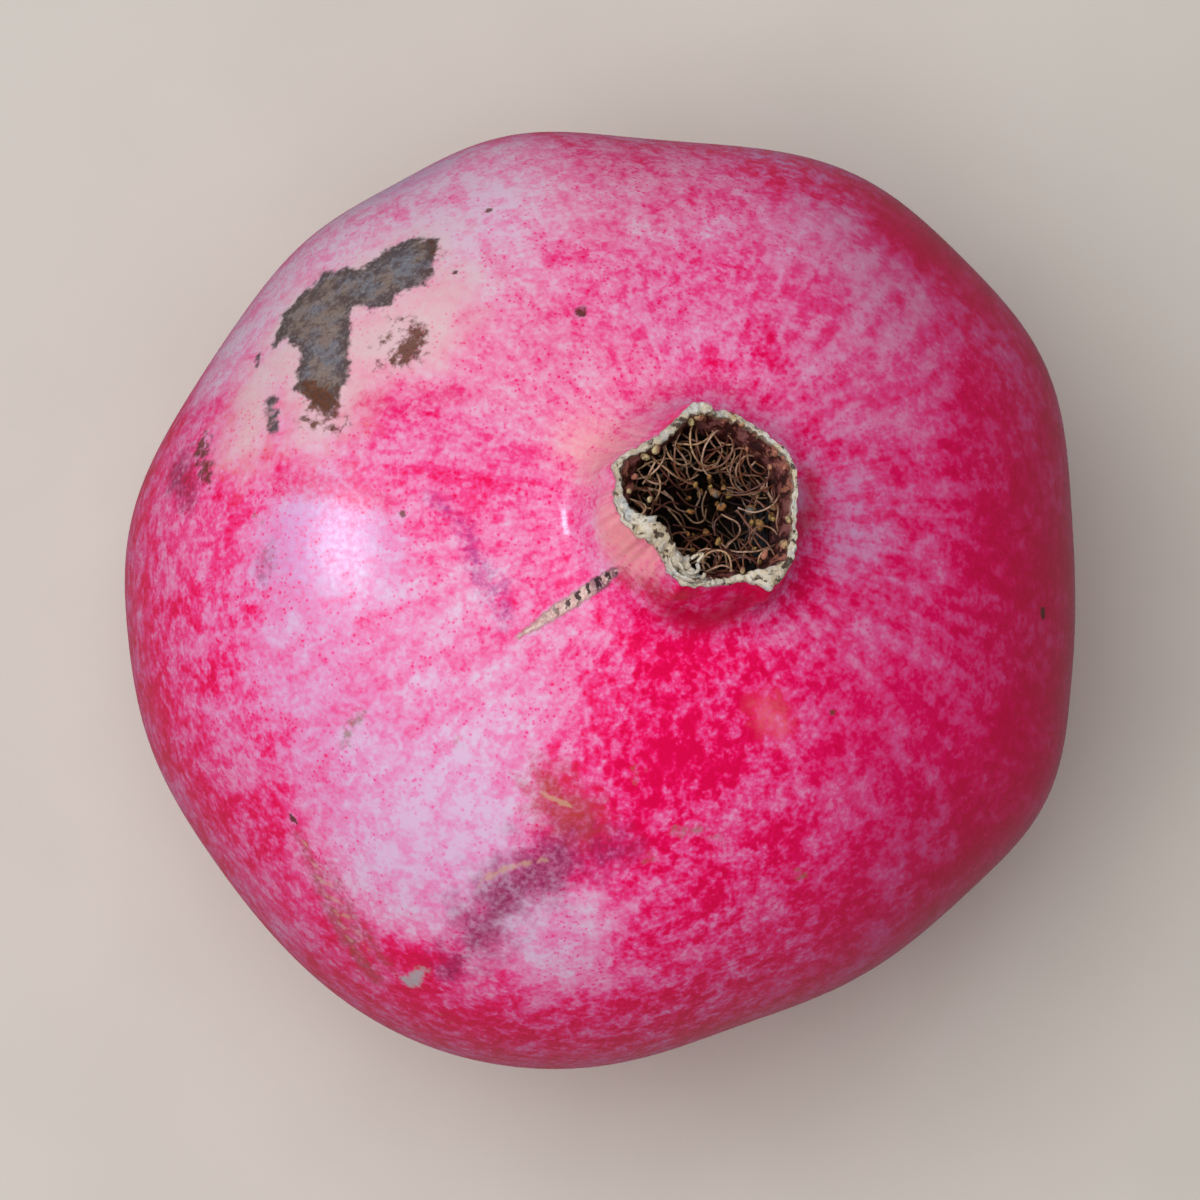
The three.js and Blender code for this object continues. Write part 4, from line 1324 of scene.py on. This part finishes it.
def thread_tree():
    """A geometry tree that turns paths into threads of even thickness."""
    bench = Shaper("Withered threads", [
        ("Thread radius", "NodeSocketFloat", 0.0002), ("Sides", "NodeSocketInt", 5),
        ("Points", "NodeSocketInt", 12), ("Wander", "NodeSocketFloat", 0.0002),
        ("Seed", "NodeSocketFloat", 1.0),
    ])
    given = bench.given
    curves = bench.add("GeometryNodeMeshToCurve", None, {"Mesh": given("Geometry")})
    curves = bench.add("GeometryNodeCurveSplineType", {"spline_type": "CATMULL_ROM"}, {"Curve": curves})
    curves = bench.add("GeometryNodeResampleCurve", None, {"Curve": curves, "Count": given("Points")})
    drift = {"W": given("Seed"), "Scale": 700.0, "Detail": 1.0}
    drift = bench.add("ShaderNodeTexNoise", {"noise_dimensions": "4D"}, drift, out="Color")
    curves = bench.shaken(curves, drift, given("Wander"))
    section = bench.add(
        "GeometryNodeCurvePrimitiveCircle", {"mode": "RADIUS"},
        {"Resolution": given("Sides"), "Radius": given("Thread radius")},
    )
    along = bench.add("GeometryNodeSplineParameter", out="Factor")
    thinning = {"Curve": curves, "Radius": 1.15 - along * 0.45}
    curves = bench.add("GeometryNodeSetCurveRadius", None, thinning)
    threads = bench.add(
        "GeometryNodeCurveToMesh", None, {"Curve": curves, "Profile Curve": section, "Fill Caps": True}
    )
    return bench.end(bench.add("GeometryNodeRealizeInstances", None, {0: threads}))


def anther_tree():
    """A geometry tree that sets a shrivelled anther at each point, turned at random."""
    bench = Shaper("Withered anthers", [
        ("Length over width", "NodeSocketFloat", 1.35), ("Shrivel", "NodeSocketFloat", 0.0003),
        ("Seed", "NodeSocketInt", 4),
    ])
    given = bench.given
    body = bench.add("GeometryNodeMeshIcoSphere", None, {"Radius": 0.5, "Subdivisions": 2})
    longer = bench.add("ShaderNodeCombineXYZ", None, {0: 1.0, 1: 0.85, 2: given("Length over width")})
    body = bench.add("GeometryNodeTransform", None, {"Geometry": body, "Scale": longer})
    turned = bench.add(
        "FunctionNodeRandomValue", {"data_type": "FLOAT_VECTOR"},
        {0: (0, 0, 0), 1: (math.tau, math.tau, math.tau), "Seed": given("Seed")},
    )
    width = bench.add("GeometryNodeInputNamedAttribute", {"data_type": "FLOAT"}, {"Name": "width"})
    placed_bodies = bench.add(
        "GeometryNodeInstanceOnPoints", None,
        {"Points": given("Geometry"), "Instance": body, "Rotation": turned, "Scale": width},
    )
    real = bench.add("GeometryNodeRealizeInstances", None, {0: placed_bodies})
    lumps = bench.add("ShaderNodeTexNoise", None, {"Scale": 1900.0, "Detail": 2.0}, out="Color")
    return bench.end(bench.shaken(real, lumps, given("Shrivel")))


def run_tree(piece, tree, values):
    """Runs a geometry tree on an object and leaves its result as a plain mesh."""
    modifier = piece.modifiers.new(tree.name, "NODES")
    modifier.node_group = tree
    for item in tree.interface.items_tree:
        if item.item_type == "SOCKET" and item.in_out == "INPUT" and item.name in values:
            modifier[item.identifier] = values[item.name]
    graph = bpy.context.evaluated_depsgraph_get()
    mesh = bpy.data.meshes.new_from_object(piece.evaluated_get(graph))
    piece.modifiers.remove(modifier)
    if not mesh.polygons:
        raise RuntimeError(f"{tree.name} made nothing")
    mesh.name = piece.name
    mesh.polygons.foreach_set("use_smooth", [True] * len(mesh.polygons))
    piece.data = mesh


def hollow_wall(azimuth, depth):
    """How far out the hollow's wall is at one azimuth and depth below the rim."""
    profile = hollow_profile()
    level = RIM_LEVEL - depth
    radius = float(np.interp(-level, -profile[:, 1], profile[:, 0]))
    return float(wall_reach(radius, level, np.array([azimuth]))[0])


def scattered_threads(count, seed):
    """Stamens that grow out of the wall, curl over to one side and hang back into the hollow."""
    draw = random.Random(seed)
    paths = []
    for number in range(count):
        azimuth = number * GOLDEN_ANGLE
        root = draw.uniform(*ROOT_DEPTHS)
        climb, fall = draw.uniform(0.3, 1.3), draw.uniform(0.2, 2.2)
        heading = math.radians(azimuth + 180 + draw.uniform(-65, 65))
        bend = draw.choice((-1, 1)) * math.radians(draw.uniform(4, 42))
        stride = draw.uniform(0.55, 0.95)
        out = hollow_wall(azimuth, root) + 0.2
        x, y = out * math.cos(math.radians(azimuth)), out * math.sin(math.radians(azimuth))
        path = [(x, y, root)]
        for t in np.linspace(0, 1, 8)[1:]:
            x, y = x + stride * math.cos(heading), y + stride * math.sin(heading)
            heading += bend * (0.6 + 0.8 * t)
            risen = climb * math.sin(math.pi * min(1.0, 1.4 * t))
            depth = min(DEEPEST_THREAD, max(HIGHEST_THREAD, root - risen + fall * t * t))
            limit = hollow_wall(math.degrees(math.atan2(y, x)), depth) - 0.15
            kept = min(1.0, limit / math.hypot(x, y))
            x, y = x * kept, y * kept
            path.append((x, y, depth))
        paths.append(path)
    return paths


def thread_material():
    settings = bpy.context.scene.pomegranate.stamens
    finish = Finish("Withered stamen")
    fibre = finish.noise(0.35 * MM, detail=3, roughness=0.6)
    broad = finish.noise(1.9 * MM, detail=1, shift=0.3)
    tone = finish.attribute("tone")
    # The light colour is partly the threads' own paler tone, partly a painted highlight, given out by
    # tone and noise.
    tint = finish.mix((broad - 0.5 + tone).step(0.35, 1.0), settings.brown, settings.light)
    tint = finish.mix(tone.step(0.75, 0.95) * 0.5, tint, colour(184, 138, 84))
    tint = finish.mix((1 - tone).step(0.72, 0.95) * 0.6, tint, colour(84, 36, 44))
    tint = finish.mix(fibre.step(0.48, 0.68) * 0.7, tint, settings.dark)
    # Darker deeper in the hollow: painted shade on the threads.
    sunk = 1 - finish.attribute("lift").step(0.0, 1.0)
    tint = finish.mix(sunk * 0.88, tint, colour(34, 20, 14))
    return finish.surface({"Base Color": tint}, {"Roughness": 0.45}, fibre, 0.03 * MM)


def anther_material():
    settings = bpy.context.scene.pomegranate.stamens
    finish = Finish("Withered anther")
    grain = finish.noise(0.3 * MM, detail=3, roughness=0.6)
    broad = finish.noise(1.5 * MM, detail=1, shift=0.5)
    tint = finish.mix(broad.step(0.4, 0.6), settings.anther, colour(156, 102, 56))
    tint = finish.mix(broad.step(0.62, 0.7), tint, colour(112, 112, 106))
    tint = finish.mix(grain.step(0.46, 0.62) * 0.8, tint, colour(58, 40, 24))
    return finish.surface({"Base Color": tint}, {"Roughness": 0.8}, grain, 0.08 * MM)


def nodule_material():
    crown = bpy.context.scene.pomegranate.crown
    finish = Finish("Dry nodules")
    grain = finish.noise(0.35 * MM, detail=3, roughness=0.6)
    broad = finish.noise(2.2 * MM, detail=1, shift=0.4)
    tint = finish.mix(broad.step(0.44, 0.64), crown.tan, colour(196, 178, 130))
    tint = finish.mix(grain.step(0.46, 0.64) * 0.75, tint, colour(96, 56, 46))
    return finish.surface({"Base Color": tint}, {"Roughness": 0.75}, grain, 0.08 * MM)


def seat_material():
    settings = bpy.context.scene.pomegranate.stamens
    finish = Finish("Withered seat")
    grain = finish.noise(0.6 * MM, detail=4, roughness=0.65)
    # Dark brown made near black: partly painted shade deep in the hollow, matching the wall's.
    tint = finish.mix(grain.step(0.45, 0.7), colour(13, 8, 6), colour(36, 21, 15))
    return finish.surface({"Base Color": tint}, {"Roughness": 0.9}, grain, 0.12 * MM)


def keep_lift(piece):
    """Stores how near the rim each point of a thread is, for its painted shade: 0 deep down, 1 at the
    top.
    """
    count = len(piece.data.vertices)
    flat = np.empty(count * 3)
    piece.data.vertices.foreach_get("co", flat)
    local = (flat.reshape(-1, 3) - PLACE[:3, 3]) @ np.linalg.inv(PLACE[:3, :3]).T
    layer = piece.data.attributes.new("lift", "FLOAT", "POINT")
    above = (local[:, 2] - RIM_LEVEL + DARK_DEPTH) / (DARK_DEPTH - LIGHT_DEPTH)
    layer.data.foreach_set("value", np.clip(above, 0, 1).astype(np.float32))


class OBJECT_OT_pomegranate_stamens(bpy.types.Operator):
    """Build the withered stamens, their anthers and the seat that they grow from"""

    bl_idname = "object.pomegranate_stamens"
    bl_label = "Withered Stamens"

    def execute(self, context):
        settings = context.scene.pomegranate.stamens
        paths = LONG_THREADS + scattered_threads(settings.scattered, settings.seed)
        draw = random.Random(settings.seed + 1)
        points, edges, tones = [], [], []
        for path in paths:
            start = len(points)
            tones += [draw.random()] * len(path)
            points += [(x, y, RIM_LEVEL - depth) for x, y, depth in path]
            edges += [(start + i, start + i + 1) for i in range(len(path) - 1)]
        mesh = bpy.data.meshes.new("stamen_threads")
        mesh.from_pydata(placed(points).tolist(), edges, [])
        mesh.attributes.new("tone", "FLOAT", "POINT").data.foreach_set("value", tones)
        threads = bpy.data.objects.new("stamen_threads", mesh)
        context.scene.collection.objects.link(threads)
        run_tree(threads, thread_tree(), {
            "Thread radius": settings.thread_radius, "Sides": THREAD_SIDES, "Points": THREAD_POINTS,
            "Wander": THREAD_WANDER, "Seed": float(settings.seed), "Material": thread_material(),
        })
        keep_lift(threads)
        hand_over(threads, "stamens")

        tips = []
        for path in paths[len(LONG_THREADS):]:
            if draw.random() < 0.3:
                tips.append((*path[-1], draw.uniform(0.45, 0.8)))
        for name, spots, material in (
            ("stamen_anthers", ANTHERS + tips, anther_material()),
            ("calyx_nodules", NODULES, nodule_material()),
        ):
            lumps = self.lumps(name, spots, material, settings.seed)
            hand_over(lumps, "stamens")
        seat = self.seat()
        hand_over(seat, "stamens")
        return {"FINISHED"}

    @staticmethod
    def lumps(name, spots, material, seed):
        """Shrivelled bodies at places given as x, y, depth below the rim and width."""
        mesh = bpy.data.meshes.new(name)
        mesh.from_pydata(placed([(x, y, RIM_LEVEL - depth) for x, y, depth, _ in spots]).tolist(), [], [])
        layer = mesh.attributes.new("width", "FLOAT", "POINT")
        layer.data.foreach_set("value", [LUMP_SCALE * width * MM for *_, width in spots])
        piece = bpy.data.objects.new(name, mesh)
        bpy.context.scene.collection.objects.link(piece)
        run_tree(piece, anther_tree(), {"Seed": seed, "Shrivel": LUMP_SHRIVEL, "Material": material})
        return piece

    @staticmethod
    def seat():
        """A thin ragged cup in the lower part of the hollow, with the stub of the style in it."""
        azimuth = np.arange(SEAT_COLUMNS) * 360.0 / SEAT_COLUMNS
        top = RIM_LEVEL - SEAT_DEPTH
        outside, inside = hollow_profile(SEAT_OUTSIDE)[::-1], hollow_profile(SEAT_INSIDE)
        outside, inside = outside[outside[:, 1] < top], inside[inside[:, 1] < top]
        style = [(0.9, FLOOR_LEVEL + 0.9), (0.6, FLOOR_LEVEL + 2.2)]
        rows = [*outside, *inside, *style]
        points = []
        for number, (radius, level) in enumerate(rows):
            thin = 0.5 * step(level, FLOOR_LEVEL + 2, top) * (number >= len(outside))
            reach = wall_reach(radius + thin, level, azimuth) + 0.07 * ripple(azimuth, 40 + number, 5, 30)
            turned = np.radians(azimuth)
            lift = level + 0.3 * step(level, top - 1.5, top) * ripple(azimuth, 77, 6, 26)
            points.append(np.stack([reach * np.cos(turned), reach * np.sin(turned), lift], axis=-1))
        poles = [(0, 0, FLOOR_LEVEL + 0.12), (0, 0, FLOOR_LEVEL + 2.3)]
        local = np.vstack([np.vstack(points), poles])
        faces = grid_faces(len(rows), SEAT_COLUMNS, True, True)
        return make_object("stamen_seat", placed(local), faces, seat_material())


def stalk_material():
    settings = bpy.context.scene.pomegranate.stalk
    finish = Finish("Dry stalk")
    grain = finish.noise(0.5 * MM, detail=4, roughness=0.65)
    broad = finish.noise(1.8 * MM, detail=2, shift=0.2)
    bark = finish.mix(grain.step(0.4, 0.65), settings.bark, colour(82, 60, 42))
    wood = finish.mix(grain.step(0.42, 0.62), settings.wood, colour(150, 116, 78))
    wood = finish.mix(broad.step(0.5, 0.65) * 0.6, wood, colour(110, 82, 56))
    tint = finish.mix(finish.attribute("cut").step(0.4, 0.6), bark, wood)
    return finish.surface({"Base Color": tint}, {"Roughness": 0.8}, grain, 0.12 * MM)


class OBJECT_OT_pomegranate_stalk(bpy.types.Operator):
    """Build the clipped stub of the stalk in its dimple"""

    bl_idname = "object.pomegranate_stalk"
    bl_label = "Clipped Stalk"

    def execute(self, context):
        settings = context.scene.pomegranate.stalk
        radius, length = settings.radius / MM, settings.length / MM
        end = DIMPLE_LEVEL - STALK_PROUD
        azimuth = np.arange(STALK_COLUMNS) * 360.0 / STALK_COLUMNS
        fibres = 0.05 * ripple(azimuth, 61, 8, 40)
        profile = [(0.5 * radius, 0.0, 1.0), (0.8 * radius, 0.02, 1.0), (0.97 * radius, 0.12, 1.0)]
        profile.append((radius, 0.35, 0.0))
        for t in np.linspace(0.1, 1, 14):
            profile.append((radius * (1 - 0.08 * t), 0.35 + t * (length - 0.75), 0.0))
        profile += [(0.7 * radius, length - 0.1, 0.0), (0.3 * radius, length - 0.02, 0.0)]
        points, cut = [], []
        turned = np.radians(azimuth)
        for number, (reach, above, is_cut) in enumerate(profile):
            rough = 0.1 * ripple(azimuth, 70 + number, 6, 40) if is_cut else 0.0
            out = reach + fibres * min(1.0, above * 4) + 0.03 * ripple(azimuth, 90 + number, 3, 20)
            level = np.full_like(out, end + above) + rough
            points.append(np.stack([out * np.cos(turned), out * np.sin(turned), level], axis=-1))
            cut += [is_cut] * STALK_COLUMNS
        local = np.vstack([np.vstack(points), [(0, 0, end + 0.05), (0, 0, end + length)]])
        faces = grid_faces(len(profile), STALK_COLUMNS, True, True)
        values = {"cut": [*cut, 1.0, 0.0]}
        piece = make_object("stalk", placed(local), faces, stalk_material(), values)
        hand_over(piece, "stem")
        return {"FINISHED"}


class OBJECT_OT_pomegranate_stage(bpy.types.Operator):
    """Set up the plain floor, the soft light and the photograph's camera"""

    bl_idname = "object.pomegranate_stage"
    bl_label = "Stage"

    def execute(self, context):
        settings = context.scene.pomegranate.stage
        finish = Finish("Plain floor")
        grain = finish.noise(0.02, detail=2)
        tint = finish.mix(grain.step(0.3, 0.7), settings.floor, tuple(0.97 * c for c in settings.floor))
        material = finish.surface({"Base Color": tint}, {"Roughness": 0.7})
        corners = [(x * FLOOR_HALF, y * FLOOR_HALF, -FLOOR_DROP) for x, y in FLOOR_CORNERS]
        floor = make_object("floor", corners, [(0, 1, 2, 3)], material)
        floor.visible_glossy = False

        back, upward = camera_axes()
        camera = bpy.data.cameras.new("camera")
        camera.lens = CAMERA_LENS
        camera.clip_start, camera.clip_end = 0.01, 10
        eye = bpy.data.objects.new("camera", camera)
        eye.location = (np.array(CAMERA_TARGET) + CAMERA_DISTANCE * back) * MM
        eye.rotation_euler = Vector(-back).to_track_quat("-Z", "Y").to_euler()
        context.scene.collection.objects.link(eye)
        context.scene.camera = eye

        window = self.soft_light("window", settings.window, **WINDOW)
        window.visible_diffuse = False
        overhead = self.soft_light("overhead", settings.overhead, **OVERHEAD)
        overhead.visible_glossy = False
        world = bpy.data.worlds.new("Soft room")
        world.use_nodes = True
        background = world.node_tree.nodes["Background"]
        background.inputs["Color"].default_value = (0.97, 0.98, 1.0, 1)
        background.inputs["Strength"].default_value = settings.fill
        context.scene.world = world
        context.scene.view_settings.view_transform = "Standard"
        return {"FINISHED"}

    @staticmethod
    def soft_light(name, watts, direction, distance, size, tint):
        """A square soft light that faces the fruit."""
        light = bpy.data.lights.new(name, "AREA")
        light.size, light.energy, light.color = size, watts, tint
        towards = Vector(direction).normalized()
        lamp = bpy.data.objects.new(name, light)
        lamp.location = towards * distance + Vector((0, 0, BELLY_RADIUS * MM))
        lamp.rotation_euler = (-towards).to_track_quat("-Z", "Y").to_euler()
        bpy.context.scene.collection.objects.link(lamp)
        return lamp


class VIEW3D_PT_pomegranate(bpy.types.Panel):
    """Lists what can be set and built"""

    bl_label = "Pomegranate"
    bl_idname = "VIEW3D_PT_pomegranate"
    bl_space_type = "VIEW_3D"
    bl_region_type = "UI"
    bl_category = "Pomegranate"

    def draw(self, context):
        settings = context.scene.pomegranate
        for label, group, operator in PARTS:
            box = self.layout.box()
            box.label(text=label)
            values = getattr(settings, group)
            for name in values.__annotations__:
                box.prop(values, name)
            box.operator(operator)


PARTS = [
    ("Rind", "rind", "object.pomegranate_rind"),
    ("Dry calyx", "crown", "object.pomegranate_rind"),
    ("Stamens", "stamens", "object.pomegranate_stamens"),
    ("Stalk", "stalk", "object.pomegranate_stalk"),
    ("Stage", "stage", "object.pomegranate_stage"),
]

CLASSES = (
    RindSettings, CrownSettings, StamenSettings, StalkSettings, StageSettings, PomegranateSettings,
    OBJECT_OT_pomegranate_rind, OBJECT_OT_pomegranate_stamens, OBJECT_OT_pomegranate_stalk,
    OBJECT_OT_pomegranate_stage, VIEW3D_PT_pomegranate,
)


def register():
    for each in CLASSES:
        bpy.utils.register_class(each)
    bpy.types.Scene.pomegranate = PointerProperty(type=PomegranateSettings)


def unregister():
    del bpy.types.Scene.pomegranate
    for each in reversed(CLASSES):
        bpy.utils.unregister_class(each)


def main():
    register()
    bpy.ops.object.pomegranate_stage()
    bpy.ops.object.pomegranate_rind()
    bpy.ops.object.pomegranate_stamens()
    bpy.ops.object.pomegranate_stalk()


if __name__ == "__main__":
    main()
